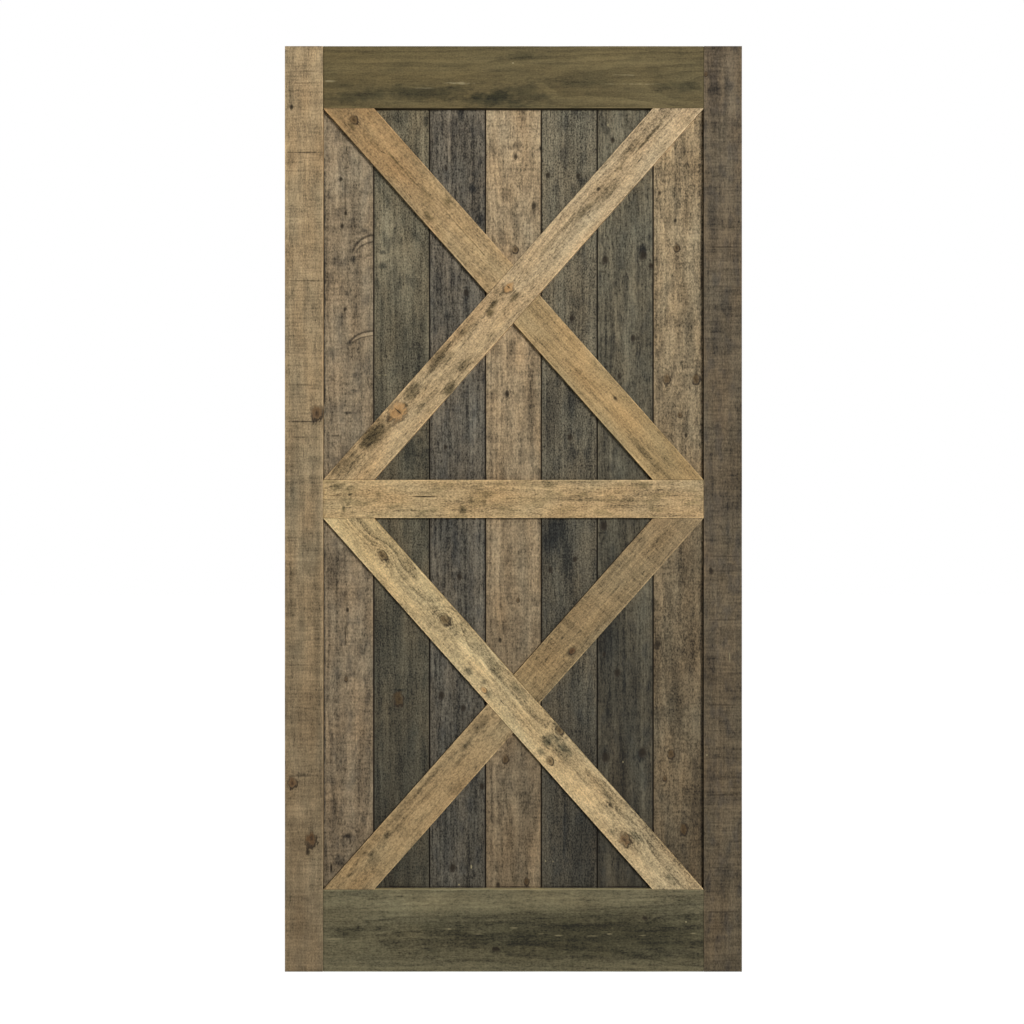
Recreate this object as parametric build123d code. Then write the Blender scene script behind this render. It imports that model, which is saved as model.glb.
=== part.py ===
from build123d import *
import math
import os

# Sliding barn door leaf: a panel of tongue-and-groove planks behind a flush face frame
# with a double X of braces, all of it nailed together from the back.
# Frame: +Z up, +X to the right as seen from the front, and the front face looks along -Y.
# Origin: bottom centre of the leaf. Lengths are in millimetres.

# Leaf
leaf_width = 1054.0
leaf_height = 2133.6

# Face boards
board_thickness = 19.0
stile_width = 88.0
top_rail_width = 143.0
middle_rail_width = 88.0
bottom_rail_width = 189.0
brace_width = 88.0
board_arris = 1.6
butt_gap = 0.4

# Planks
plank_thickness = 19.0
plank_pitch = 129.5
plank_reveal = 1.6
plank_arris = 1.0
narrowest_rip = 40.0
tongue_length = 8.0
tongue_thickness = 6.0
tongue_side_clearance = 0.2
tongue_end_clearance = 0.6

# Cut nails, sheared from plate and driven from the back
nail_plate = 2.8
nail_head_width = 7.0
nail_head_height = 2.0
nail_neck_width = 4.8
nail_tip_width = 2.4
nail_tip_cover = 6.5
nail_clearance = 0.1
cut_overrun = 1.0

# Where the nails sit
rail_nail_stagger_share = 0.22
plank_nail_spread_share = 0.25
stile_nail_pitch = 290.0
stile_nail_end_inset = 60.0
brace_nail_end_inset = 50.0

# Places worked out from the sizes above
half_width = leaf_width / 2
stile_inner = half_width - stile_width
front_y = -(board_thickness + plank_thickness) / 2
seat_y = front_y + board_thickness
back_y = seat_y + plank_thickness
top_rail_low = leaf_height - top_rail_width
middle_rail_low = (bottom_rail_width + top_rail_low - middle_rail_width) / 2
middle_rail_high = middle_rail_low + middle_rail_width
nail_length = plank_thickness + board_thickness - nail_tip_cover

full_plank_count = int((leaf_width - 2 * narrowest_rip) // plank_pitch)
first_joint = -full_plank_count * plank_pitch / 2
plank_joints = [first_joint + n * plank_pitch for n in range(full_plank_count + 1)]
plank_edges = [-half_width, *plank_joints, half_width]
full_plank_centres = [joint + plank_pitch / 2 for joint in plank_joints[:-1]]


# Face boards

def face_blank(outline):
    """A board on the plank panel: the (x, z) outline, one board thick, still square-edged."""
    seat = Plane.XZ.offset(-seat_y)
    return extrude(seat * outline, amount=board_thickness, dir=(0, -1, 0))


def eased(board):
    """The board with the arrises round its front face rubbed off."""
    front = board.faces().sort_by(Axis.Y)[0]
    return board.chamfer(board_arris, None, front.edges())


def upright_outline(left, right, low, high):
    """A rectangle given by its sides."""
    return Polygon((left, low), (right, low), (right, high), (left, high), align=None)


def make_stiles():
    """Two full-height boards at the sides."""
    left = upright_outline(-half_width, -stile_inner, 0, leaf_height)
    right = upright_outline(stile_inner, half_width, 0, leaf_height)
    return {"left_stile": face_blank(left), "right_stile": face_blank(right)}


def make_rails():
    """Three boards that butt between the stiles."""
    end = stile_inner - butt_gap
    levels = {
        "top_rail": (top_rail_low, leaf_height),
        "middle_rail": (middle_rail_low, middle_rail_high),
        "bottom_rail": (0, bottom_rail_width),
    }
    return {
        name: face_blank(upright_outline(-end, end, low, high))
        for name, (low, high) in levels.items()
    }


def brace_run(low, high):
    """Half the run, the foot and head levels, and the level cut of a corner-to-corner brace.

    Both long edges end in a corner of the opening, which fixes the brace's lean.
    """
    half_run = stile_inner - butt_gap
    foot = low + butt_gap
    head = high - butt_gap
    run = 2 * half_run
    rise = head - foot
    lean = math.atan2(rise, run) + math.asin(brace_width / math.hypot(run, rise))
    return half_run, foot, head, brace_width / math.sin(lean)


def brace_outline(low, high, rises_right):
    """Outline of a brace in the opening between two rails, with level cuts at both ends."""
    half_run, foot, head, level_cut = brace_run(low, high)
    corners = [
        (-half_run, foot),
        (level_cut - half_run, foot),
        (half_run, head),
        (half_run - level_cut, head),
    ]
    if not rises_right:
        corners = [(-x, z) for x, z in reversed(corners)]
    return Polygon(*corners, align=None)


def make_cross(name, low, high, full_rises_right):
    """One X: a brace in one piece, and a crossing brace in two halves that butt against it."""
    full_outline = brace_outline(low, high, full_rises_right)
    crossing = face_blank(brace_outline(low, high, not full_rises_right))
    housing = face_blank(offset(full_outline, butt_gap, kind=Kind.INTERSECTION))
    left_half, right_half = (crossing - housing).solids().sort_by(Axis.X)
    return {
        f"{name}_brace_full": face_blank(full_outline),
        f"{name}_brace_half_left": left_half,
        f"{name}_brace_half_right": right_half,
    }


# Planks

def make_plank(left_joint, right_joint, has_groove, has_tongue):
    """One full-height plank, tongue on its right edge and groove in its left edge."""
    half_reveal = plank_reveal / 2
    left = left_joint + half_reveal if has_groove else left_joint
    right = right_joint - half_reveal if has_tongue else right_joint
    middle_y = (seat_y + back_y) / 2
    section = Pos((left + right) / 2, middle_y) * Rectangle(right - left, plank_thickness)
    groove_depth = tongue_length - plank_reveal + tongue_end_clearance
    groove_width = tongue_thickness + 2 * tongue_side_clearance
    if has_groove:
        groove = Rectangle(groove_depth, groove_width, align=(Align.MIN, Align.CENTER))
        section -= Pos(left, middle_y) * groove
    if has_tongue:
        tongue = Rectangle(tongue_length, tongue_thickness, align=(Align.MIN, Align.CENTER))
        section += Pos(right, middle_y) * tongue
    plank = extrude(section, amount=leaf_height)
    upright = plank.edges().filter_by(Axis.Z)
    faces_y = (seat_y, back_y)
    arrises = [edge for edge in upright if any(math.isclose(edge.center().Y, y) for y in faces_y)]
    return chamfer(arrises, plank_arris)


def make_planks():
    """The panel, left to right: a ripped plank at each side and full planks between."""
    planks = {}
    last = len(plank_edges) - 1
    for n in range(last):
        groove, tongue = n > 0, n < last - 1
        planks[f"plank_{n + 1}"] = make_plank(plank_edges[n], plank_edges[n + 1], groove, tongue)
    return planks


# Nails

def nail_form(grow, overrun):
    """A tapered blank with a T head, head first along its own +Y, grown and run out for its hole."""
    head = nail_head_width / 2 + grow
    neck = nail_neck_width / 2 + grow
    tip = nail_tip_width / 2 + grow
    side = [(head, -overrun), (head, nail_head_height), (neck, nail_head_height), (tip, nail_length + grow)]
    other_side = [(-across, along) for across, along in reversed(side)]
    blank = Polygon(*side, *other_side, align=None)
    return extrude(blank, amount=nail_plate / 2 + grow, both=True)


def nail_seat(place):
    """Where a nail sits in the back: its wide side along the plank's grain, its tip to the front."""
    x, z = place
    return Plane(origin=(x, back_y, z), x_dir=(0, 0, 1), z_dir=(1, 0, 0))


def rail_nails():
    """Two staggered nails through every full plank into the wide rails, one into the middle rail."""
    places = []
    for centre in full_plank_centres:
        places.append((centre, (middle_rail_low + middle_rail_high) / 2))
        for low, width in ((0, bottom_rail_width), (top_rail_low, top_rail_width)):
            for side in (-1, 1):
                x = centre + side * plank_pitch * plank_nail_spread_share
                z = low + width / 2 + side * width * rail_nail_stagger_share
                places.append((x, z))
    return places


def stile_nails():
    """An even row down the middle of each stile."""
    run = leaf_height - 2 * stile_nail_end_inset
    gaps = max(1, round(run / stile_nail_pitch))
    levels = [stile_nail_end_inset + run * n / gaps for n in range(gaps + 1)]
    line = half_width - stile_width / 2
    return [(side * line, z) for side in (-1, 1) for z in levels]


def brace_nails(low, high):
    """Nails of one X: near the brace ends, in the planks crossed between, and in the middle."""
    half_run, foot, head, level_cut = brace_run(low, high)
    end_x = half_run - level_cut / 2
    half_rise = (head - foot) / 2
    middle_z = (foot + head) / 2
    lean = math.atan2(half_rise, end_x)
    end_nail_x = end_x - brace_nail_end_inset * math.cos(lean)
    clear_of_crossing = brace_width / math.sin(2 * lean)
    clear_of_ends = end_nail_x - plank_pitch / 2
    crossed = [x for x in full_plank_centres if clear_of_crossing < abs(x) < clear_of_ends]
    slope = half_rise / end_x
    places = [(0, middle_z)]
    for x in (-end_nail_x, *crossed, end_nail_x):
        places += [(x, middle_z + side * x * slope) for side in (-1, 1)]
    return places


def drilled(piece, places, hole):
    """The piece with the hole of every nail that reaches it."""
    box = piece.bounding_box()
    reach = nail_head_width
    near = [
        nail_seat((x, z)) * hole
        for x, z in places
        if box.min.X - reach < x < box.max.X + reach and box.min.Z - reach < z < box.max.Z + reach
    ]
    return piece - near if near else piece


def build():
    """All the pieces of the leaf by name."""
    crosses = [
        ("upper", middle_rail_high, top_rail_low, True),
        ("lower", bottom_rail_width, middle_rail_low, False),
    ]
    boards = make_stiles() | make_rails()
    places = rail_nails() + stile_nails()
    for name, low, high, full_rises_right in crosses:
        boards |= make_cross(name, low, high, full_rises_right)
        places += brace_nails(low, high)
    boards = {name: eased(board) for name, board in boards.items()}
    hole = nail_form(nail_clearance, cut_overrun)
    pieces = {
        name: drilled(piece, places, hole)
        for name, piece in (boards | make_planks()).items()
    }
    nail = nail_form(0, 0)
    pieces["back_nails"] = Compound(children=[nail_seat(place) * nail for place in places])
    return pieces


def main():
    os.makedirs("parts", exist_ok=True)
    pieces = build()
    for name, piece in pieces.items():
        export_step(piece, f"parts/{name}.step")
    print(len(pieces), "pieces,", len(pieces["back_nails"].solids()), "nails")


main()
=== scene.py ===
# %% [markdown]
# # A weathered barn door leaf
#
# The leaf is a panel of upright planks with a flush frame and two X braces in front, all of it old
# softwood that the weather has turned tan, olive and slate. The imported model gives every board's
# place and size. This lesson dresses each board: a mesh with worn edges, and a wood that runs right
# through it, so that faces, edges and end grain agree.

# %% Load the leaf
import math
from dataclasses import dataclass, field

import bpy
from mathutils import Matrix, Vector, noise


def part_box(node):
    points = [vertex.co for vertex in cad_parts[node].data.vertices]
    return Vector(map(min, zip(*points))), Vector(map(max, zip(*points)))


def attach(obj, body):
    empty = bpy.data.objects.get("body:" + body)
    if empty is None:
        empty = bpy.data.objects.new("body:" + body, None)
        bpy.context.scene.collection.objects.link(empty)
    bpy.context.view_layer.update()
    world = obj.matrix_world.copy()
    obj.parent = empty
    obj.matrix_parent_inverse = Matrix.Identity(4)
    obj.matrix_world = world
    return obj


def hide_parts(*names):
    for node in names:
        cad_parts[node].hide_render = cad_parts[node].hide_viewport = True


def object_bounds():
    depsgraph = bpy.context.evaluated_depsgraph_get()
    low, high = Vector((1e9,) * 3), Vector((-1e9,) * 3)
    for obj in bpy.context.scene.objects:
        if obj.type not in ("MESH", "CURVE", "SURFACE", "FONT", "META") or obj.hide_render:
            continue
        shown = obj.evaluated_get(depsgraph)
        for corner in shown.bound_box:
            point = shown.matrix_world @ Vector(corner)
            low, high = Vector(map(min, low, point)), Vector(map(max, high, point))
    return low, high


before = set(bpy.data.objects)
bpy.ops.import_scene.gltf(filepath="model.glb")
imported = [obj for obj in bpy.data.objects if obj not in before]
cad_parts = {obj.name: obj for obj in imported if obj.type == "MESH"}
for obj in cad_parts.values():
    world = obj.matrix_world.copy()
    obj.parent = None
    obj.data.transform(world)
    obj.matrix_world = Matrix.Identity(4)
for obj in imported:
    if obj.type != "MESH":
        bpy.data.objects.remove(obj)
cad_low, cad_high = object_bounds()
MM = 0.001
leaf_height = cad_high.z - cad_low.z
print("leaf", [round(side / MM) for side in cad_high - cad_low], "mm")

# %% [markdown]
# ## Where the camera stands
#
# The photograph looks at the leaf square on, from the height of its middle rail. A 50 mm lens gives the
# sliver of shadow side that shows under the top rail. The leaf's edges in the photograph set how
# far away the camera stands, and the same numbers turn any place in the photograph into a place on
# the leaf, which later puts knots and splits where they belong.

# %% Place the camera
photo_pixels = 1024
leaf_top_pixel = 46.0
leaf_bottom_pixel = 971.8
leaf_middle_pixel = 513.4
lens_mm = 50.0
sensor_mm = 36.0
level_look = math.radians(90)

front_y = cad_low.y
pixel = leaf_height / (leaf_bottom_pixel - leaf_top_pixel)
camera_distance = lens_mm / sensor_mm * photo_pixels * pixel
eye = Vector((
    (photo_pixels / 2 - leaf_middle_pixel) * pixel,
    front_y - camera_distance,
    cad_high.z - (photo_pixels / 2 - leaf_top_pixel) * pixel,
))


def seen_at(across_pixel, down_pixel, depth):
    """The point of the upright plane at this depth that the photograph shows at a pixel."""
    reach = (depth - eye.y) / camera_distance * pixel
    right = (across_pixel - photo_pixels / 2) * reach
    up = (photo_pixels / 2 - down_pixel) * reach
    return Vector((eye.x + right, depth, eye.z + up))


def shown(name, data):
    """A new object with this data, in the scene."""
    made = bpy.data.objects.new(name, data)
    bpy.context.scene.collection.objects.link(made)
    return made


camera = shown("camera", bpy.data.cameras.new("camera"))
camera.data.lens = lens_mm
camera.data.sensor_width = sensor_mm
camera.location = eye
camera.rotation_euler = (level_look, 0, 0)
bpy.context.scene.camera = camera
print("camera", round(camera_distance, 2), "m in front of the leaf")
print("one pixel is", round(pixel / MM, 2), "mm")

# %% [markdown]
# ## Measuring a board
#
# Every board is a straight length of wood with two end cuts, square on the frame and slanted on the
# braces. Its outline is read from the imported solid, and kept as a centre, a direction along the
# grain, a direction across it and the two end cuts. All marks on a board are then in its own terms:
# so far along, so far across.

# %% Board outlines
@dataclass
class Board:
    node: str
    centre: Vector
    along: Vector
    across: Vector
    half_width: float
    cuts: list
    front: float
    back: float
    seed: float
    left_edge: list = field(default_factory=list)
    right_edge: list = field(default_factory=list)
    marks: dict = field(default_factory=dict)

    def local(self, point):
        offset = point - self.centre
        return offset.dot(self.across), offset.dot(self.along)

    def span(self):
        return self.cuts[0][0], self.cuts[1][0]

    def end(self, which, across):
        middle, slope = self.cuts[which]
        return middle + slope * across


place_digits = 5
straight_turn = 1e-7
level_rise = 0.01


def turn(first, second, third):
    """Twice the signed area of a triangle: positive where the path turns left."""
    there = (second[0] - first[0], second[1] - first[1])
    onward = (third[0] - first[0], third[1] - first[1])
    return there[0] * onward[1] - there[1] * onward[0]


def outline_corners(points):
    """The corners of the convex outline round a set of flat points."""
    points = sorted(set(points))
    corners = []
    for run in (points, points[::-1]):
        chain = []
        for point in run:
            while len(chain) > 1 and turn(chain[-2], chain[-1], point) <= straight_turn:
                chain.pop()
            chain.append(point)
        corners += chain[:-1]
    return [Vector((x, 0, z)) for x, z in corners]


def measure(node, seed):
    """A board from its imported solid: the longest side of its outline runs along the grain."""
    low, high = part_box(node)
    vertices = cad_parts[node].data.vertices
    flat = [(round(v.co.x, place_digits), round(v.co.z, place_digits)) for v in vertices]
    corners = outline_corners(flat)
    sides = [second - first for first, second in zip(corners, corners[1:] + corners[:1])]
    along = max(sides, key=lambda side: side.length).normalized()
    level = abs(along.z) < level_rise
    if along.z < -level_rise or (level and along.x < 0):
        along = -along
    across = Vector((along.z, 0, -along.x))
    centre = sum(corners, Vector()) / len(corners)
    spots = sorted(((c - centre).dot(across), (c - centre).dot(along)) for c in corners)
    half_width = (spots[-1][0] - spots[0][0]) / 2
    shift = (spots[-1][0] + spots[0][0]) / 2
    centre += across * shift
    near, far = sorted(s for _, s in spots[:2]), sorted(s for _, s in spots[2:])
    cuts = [((n + f) / 2, (f - n) / (2 * half_width)) for n, f in zip(near, far)]
    return Board(node, centre, along, across, half_width, cuts, low.y, high.y, seed)


board_nodes = sorted(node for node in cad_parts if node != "back_nails")
boards = {node: measure(node, n + 1.0) for n, node in enumerate(board_nodes)}
for board in boards.values():
    slopes = [round(slope, 2) for _, slope in board.cuts]
    print(board.node, round(board.half_width * 2 / MM, 1), "mm wide, cuts", slopes)

# %% [markdown]
# ## Plank edges
#
# The planks are tongue-and-groove: a thin tongue on the right edge slides into a groove in the left
# edge of the next one. Both are listed as steps out of the plank's edge, from the front to the back.
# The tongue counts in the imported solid's width, so it is taken off to find the face.

# %% Tongues and grooves
tongue_length = 8.0 * MM
tongue_thickness = 6.0 * MM
groove_depth = 7.0 * MM
groove_width = 6.4 * MM
planks = sorted(node for node in boards if node.startswith("plank"))


def stepped_edge(board, out, thickness):
    """An edge that steps out, or in, at the middle of the board's thickness."""
    middle = (board.front + board.back) / 2
    near, far = middle - thickness / 2, middle + thickness / 2
    return [(0.0, near), (out, near), (out, far), (0.0, far)]


for node in planks:
    board = boards[node]
    if node != planks[-1]:
        board.half_width -= tongue_length / 2
        board.centre -= board.across * (tongue_length / 2)
        board.right_edge = stepped_edge(board, tongue_length, tongue_thickness)
    if node != planks[0]:
        board.left_edge = stepped_edge(board, -groove_depth, groove_width)
print(len(planks), "planks, face", round(boards["plank_5"].half_width * 2 / MM, 1), "mm wide")

# %% [markdown]
# ## Marks from the photograph
#
# Marks give each board its face. They are listed as places in the photograph: across, down,
# half-width and half-length in pixels, and how strong the mark is. Widths and lengths are measured
# across and along the board's own grain. A knot or an eye has one radius, and an eye is a knot whose
# heart has the tone of the wood. A smudge is darker, and a shade is a wider smudge with a clearer edge.
# A scuff is a paler patch, a fleck a small pale spot, and a crescent a curved crack round a branch.
# A few long thin smudges along the stiles' inner edges are painted shade.

# %% Marks in a board's own terms
@dataclass
class Mark:
    across: float
    along: float
    width: float
    length: float
    amount: float = 1.0


knot_stretch = 1.35
line_reach = 1.3
line_half_pixels = 0.9


def marks_on(board, places):
    """Marks in the board's own terms from (across, down, half-width, half-length[, amount]) pixels."""
    made = []
    for right, down, width, length, *amount in places:
        across, along = board.local(seen_at(right, down, board.front))
        made.append(Mark(across, along, width * pixel, length * pixel, *amount))
    return made


def lines_on(board, levels):
    """Lines right across an upright board at these heights in the photograph: saw lines and painted
    shade.
    """
    width = board.half_width * line_reach / pixel
    places = [(leaf_middle_pixel, level, width, line_half_pixels, amount) for level, amount in levels]
    made = marks_on(board, places)
    for mark in made:
        mark.across = 0.0
    return made


def round_marks(places):
    """Knots as marks: a radius for the width, and a little more along the grain."""
    made = []
    for right, down, radius, *amount in places:
        made.append((right, down, radius, radius * knot_stretch, *amount))
    return made


print("a knot is", knot_stretch, "times as long as it is wide")

# %% Marks on the frame
frame_marks = {
    "left_stile": dict(
        knots=[(316.7, 413, 5.8, 0.6), (292.5, 783, 4.4, 0.5), (311.3, 839.4, 6.0, 0.5),
               (307.8, 852, 2.2, 0.8), (291.5, 107, 1.7, 0.9)],
        cracks=[(316.5, 412, 1.0, 3.6, 0.7)],
        smudges_and_painted_shade=[(292, 576, 5, 9, 0.8), (291, 606, 5, 16, 0.6), (317, 640, 6, 85, 0.5),
                 (318, 250, 5, 60, 0.3), (315, 470, 5, 60, 0.3), (303, 775, 14, 2.5, 0.9),
                 (303, 838, 18, 16, 0.45), (303, 928, 16, 12, 0.4)],
        scuffs=[(300, 300, 5, 60, 0.5), (301, 560, 16, 8, 0.5), (303, 640, 5, 22, 0.4),
                (300, 808, 17, 13, 0.5), (303, 885, 16, 18, 0.4), (303, 962, 18, 8, 0.5),
                (292, 112, 2.5, 1.6, 0.9), (302, 57, 17, 9, 0.4)],
    ),
    "right_stile": dict(
        knots=[(711, 571, 2.4, 0.8), (706, 74, 2.0, 0.7)],
        smudges_and_painted_shade=[(713, 82, 7, 38, 0.8), (716, 335, 5, 28, 0.7), (710, 520, 6, 60, 0.6),
                 (712, 780, 6, 30, 0.6), (723, 508, 18, 16, 0.5), (723, 568, 18, 6, 0.6),
                 (723, 800, 18, 6, 0.5), (723, 872, 18, 7, 0.5), (713, 215, 5, 40, 0.4),
                 (712, 655, 6, 34, 0.5)],
        scuffs=[(732, 84, 5.5, 36, 1.1), (728, 205, 8, 45, 0.5), (727, 410, 6, 30, 0.5),
                (730, 660, 6, 60, 0.4), (728, 830, 8, 26, 0.4), (728, 945, 8, 20, 0.4),
                (729, 594, 6, 18, 0.4)],
        flecks=[(729.6, 657, 0.9, 7, 0.5), (707, 755, 1.3, 1.4, 0.6)],
    ),
    "top_rail": dict(
        smudges_and_painted_shade=[(360, 96, 9, 45, 0.8), (430, 93, 10, 50, 0.9), (497, 98, 11, 34, 1.3),
                 (525, 92, 14, 26, 0.8), (678, 86, 6, 26, 0.8), (525, 56, 5, 24, 0.7),
                 (585, 84, 5, 34, 0.5), (345, 86, 5, 22, 0.5)],
        scuffs=[(370, 66, 12, 45, 0.4), (470, 64, 11, 55, 0.35), (630, 62, 11, 60, 0.45),
                (640, 102, 4, 55, 0.5), (690, 62, 10, 14, 0.4)],
        flecks=[(460, 83.3, 1.6, 15, 0.55), (330, 81, 1.3, 8, 0.5), (425, 88, 1.0, 14, 0.3),
                (640, 84, 1.0, 22, 0.3), (625, 75, 1.0, 18, 0.25), (610, 84, 0.9, 10, 0.25),
                (513, 63, 1.1, 1.4, 0.8)],
    ),
    "bottom_rail": dict(
        knots=[(496, 949, 2.6, 0.9), (645, 918, 2.0, 0.8)],
        smudges_and_painted_shade=[(478, 948, 2.6, 24, 1.0), (352, 933, 9, 30, 0.7), (668, 921, 8, 40, 0.8),
                 (500, 926, 8, 50, 0.4), (686, 902, 6, 16, 0.6)],
        shades=[(600, 936, 38, 260, 1.1), (400, 940, 26, 100, 0.3)],
        scuffs=[(480, 907, 9, 66, 1.5), (545, 903, 12, 56, 1.5), (625, 902, 11, 56, 1.0),
                (360, 903, 12, 48, 0.7), (420, 904, 12, 56, 1.6), (432, 918, 9, 44, 0.5),
                (600, 966, 7, 120, 0.6), (400, 966, 7, 100, 0.5), (327, 903, 12, 0.9, 0.9),
                (334, 905, 11, 0.9, 0.8), (343, 901, 10, 0.8, 0.8), (352, 904, 12, 0.9, 0.9),
                (364, 900, 9, 0.8, 0.7), (378, 902, 10, 0.9, 0.7)],
        flecks=[(514, 927.8, 1.0, 6, 0.4), (558.5, 935.6, 0.9, 5, 0.45), (541, 933.8, 0.8, 4, 0.3),
                (610, 934, 1.0, 4, 0.5), (591, 936, 0.9, 9, 0.3), (642, 935.4, 0.9, 5, 0.35),
                (693, 933.4, 1.0, 4, 0.5), (686, 922, 1.1, 1.3, 0.8), (332, 939, 1.0, 10, 0.4),
                (449, 929, 1.0, 3, 0.6), (360, 941, 0.9, 8, 0.25), (478, 934, 0.9, 6, 0.3)],
    ),
    "middle_rail": dict(
        cracks=[(424, 496.6, 0.8, 19, 1.0), (335, 495.6, 0.5, 10, 0.5)],
        smudges_and_painted_shade=[(337, 486, 5, 7, 0.9), (344.5, 484, 3, 1.8, 0.9), (347.5, 489, 3, 1.8, 1.0),
                 (350, 494, 3, 2, 1.1), (350.5, 499, 3, 2, 1.0), (347.5, 504, 3, 2.2, 0.9),
                 (344, 509, 4, 2.6, 1.1), (342, 515, 3, 2.2, 0.8), (471, 500, 5, 3, 0.8),
                 (463, 510, 6, 4, 1.0), (484, 501, 4, 3, 0.8), (643, 485, 4, 9, 0.9),
                 (549, 485, 5, 9, 0.7), (600, 500, 2, 60, 0.5), (530, 499, 2, 40, 0.4),
                 (655, 500, 3, 10, 0.5)],
        scuffs=[(390, 508, 8, 34, 0.3), (520, 510, 6, 60, 0.3)],
    ),
}
print(len(frame_marks), "boards of the frame have marks")

# %% Marks on the braces
brace_marks = {
    "upper_brace_full": dict(
        knots=[(398, 411.6, 8.6, 0.3), (508.8, 287.6, 4.4, 0.35), (598.4, 189, 1.6, 0.9)],
        cracks=[(398, 411, 7, 1.0, 1.0), (508.5, 287, 3.6, 0.9, 0.9)],
        smudges_and_painted_shade=[(381, 428, 4, 9, 1.2), (389, 419, 3, 9, 1.0), (451, 388, 6, 9, 1.1),
                 (406, 405, 6, 2.2, 1.2), (494, 303, 5, 9, 1.2), (490, 313, 5, 6, 1.2),
                 (503, 292, 4, 6, 0.9), (514, 297, 5, 8, 1.0), (438, 358, 11, 18, 0.9),
                 (463, 366, 6, 14, 0.8), (412, 392, 6, 13, 0.9), (424, 404, 5, 14, 0.7),
                 (466, 330, 6, 16, 0.8), (338, 470, 8, 10, 0.7), (632, 148, 5, 32, 0.6),
                 (649, 137, 1.5, 26, 1.0), (620, 168, 4, 10, 0.8), (590, 205, 3, 30, 0.9),
                 (608, 196, 3, 24, 0.8), (570, 222, 2, 24, 0.5)],
        scuffs=[(440, 372, 5, 9, 0.8), (455, 350, 4, 10, 0.8), (398, 432, 5, 14, 0.5),
                (375, 466, 5, 16, 0.5), (500, 325, 6, 12, 0.6), (540, 260, 7, 30, 0.3),
                (672, 134, 7, 24, 0.5)],
        shades=[(374, 435, 12, 23, 1.4), (350, 462, 12, 18, 0.6), (604, 192, 9, 26, 0.55)],
        flecks=[(636, 149, 1.2, 3, 0.8)],
    ),
    "upper_brace_half_left": dict(
        knots=[(354, 119.6, 3.6, 0.7)],
        smudges_and_painted_shade=[(352, 126, 3, 7, 0.8), (448, 202, 6, 7, 1.1), (429, 217, 5, 8, 0.9),
                 (400, 166, 1.4, 28, 0.9), (428, 196, 4, 10, 0.6), (471, 240, 0.8, 38, 0.8)],
        flecks=[(470, 242, 0.7, 38, 0.3)],
        scuffs=[(478, 250, 5, 30, 0.4), (380, 140, 5, 30, 0.3)],
    ),
    "upper_brace_half_right": dict(
        knots=[(615, 398, 1.6, 0.8)],
        smudges_and_painted_shade=[(577, 371, 4, 18, 0.5), (640, 448, 4, 18, 0.6), (656, 470, 6, 8, 0.5)],
        scuffs=[(596, 376, 6, 24, 0.4), (536, 314, 4, 12, 0.3)],
    ),
    "lower_brace_full": dict(
        knots=[(382.5, 555.6, 4.2, 0.7), (445.4, 620, 4.6, 0.7), (559.8, 730.6, 3.2, 0.7),
               (550, 761, 3.4, 0.7), (610, 805, 1.6, 1.0), (624.6, 840, 5.6, 0.5),
               (484, 690, 2.6, 0.3)],
        smudges_and_painted_shade=[(468, 672, 5, 5, 1.0), (484, 682, 3.5, 4, 0.8), (489, 695, 4, 5, 1.1),
                 (548, 742, 6, 9, 1.4), (562, 748, 6, 16, 1.4), (541, 752, 4, 5, 0.9),
                 (636, 837, 5, 8, 0.9), (670, 878, 4, 9, 0.9), (608, 798, 3, 20, 0.8),
                 (495, 672, 4, 14, 0.7), (612, 832, 3, 5, 0.7), (519, 690, 4, 16, 0.8),
                 (556, 724, 5, 8, 0.9), (387, 562, 3, 4, 0.7)],
        shades=[(560, 750, 10, 26, 0.75)],
        chips=[(461, 669, 1.6, 3), (484, 691, 1.8, 4), (497, 706, 1.2, 3)],
        scuffs=[(478, 661, 9, 26, 1.5), (410, 605, 5, 50, 0.6), (590, 797, 7, 40, 0.9),
                (650, 868, 5, 24, 0.5)],
    ),
    "lower_brace_half_right": dict(
        knots=[(572.5, 651, 3.0, 0.5)],
        smudges_and_painted_shade=[(570, 652, 4, 6, 0.8), (615, 590, 1.3, 24, 0.7), (660, 540, 6, 14, 0.4),
                 (606, 618, 4, 20, 0.4)],
        scuffs=[(640, 545, 5, 34, 0.5)],
    ),
    "lower_brace_half_left": dict(
        smudges_and_painted_shade=[(387, 835, 3, 6, 1.1), (371, 854, 3, 5, 1.2), (466, 745, 4, 7, 1.1),
                 (420, 790, 2, 30, 0.6), (352, 873, 4, 8, 0.6), (400, 815, 3, 14, 0.6),
                 (478, 724, 8, 14, 0.7)],
        scuffs=[(440, 785, 4, 40, 0.4)],
    ),
}
print(len(brace_marks), "braces have marks")

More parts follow.
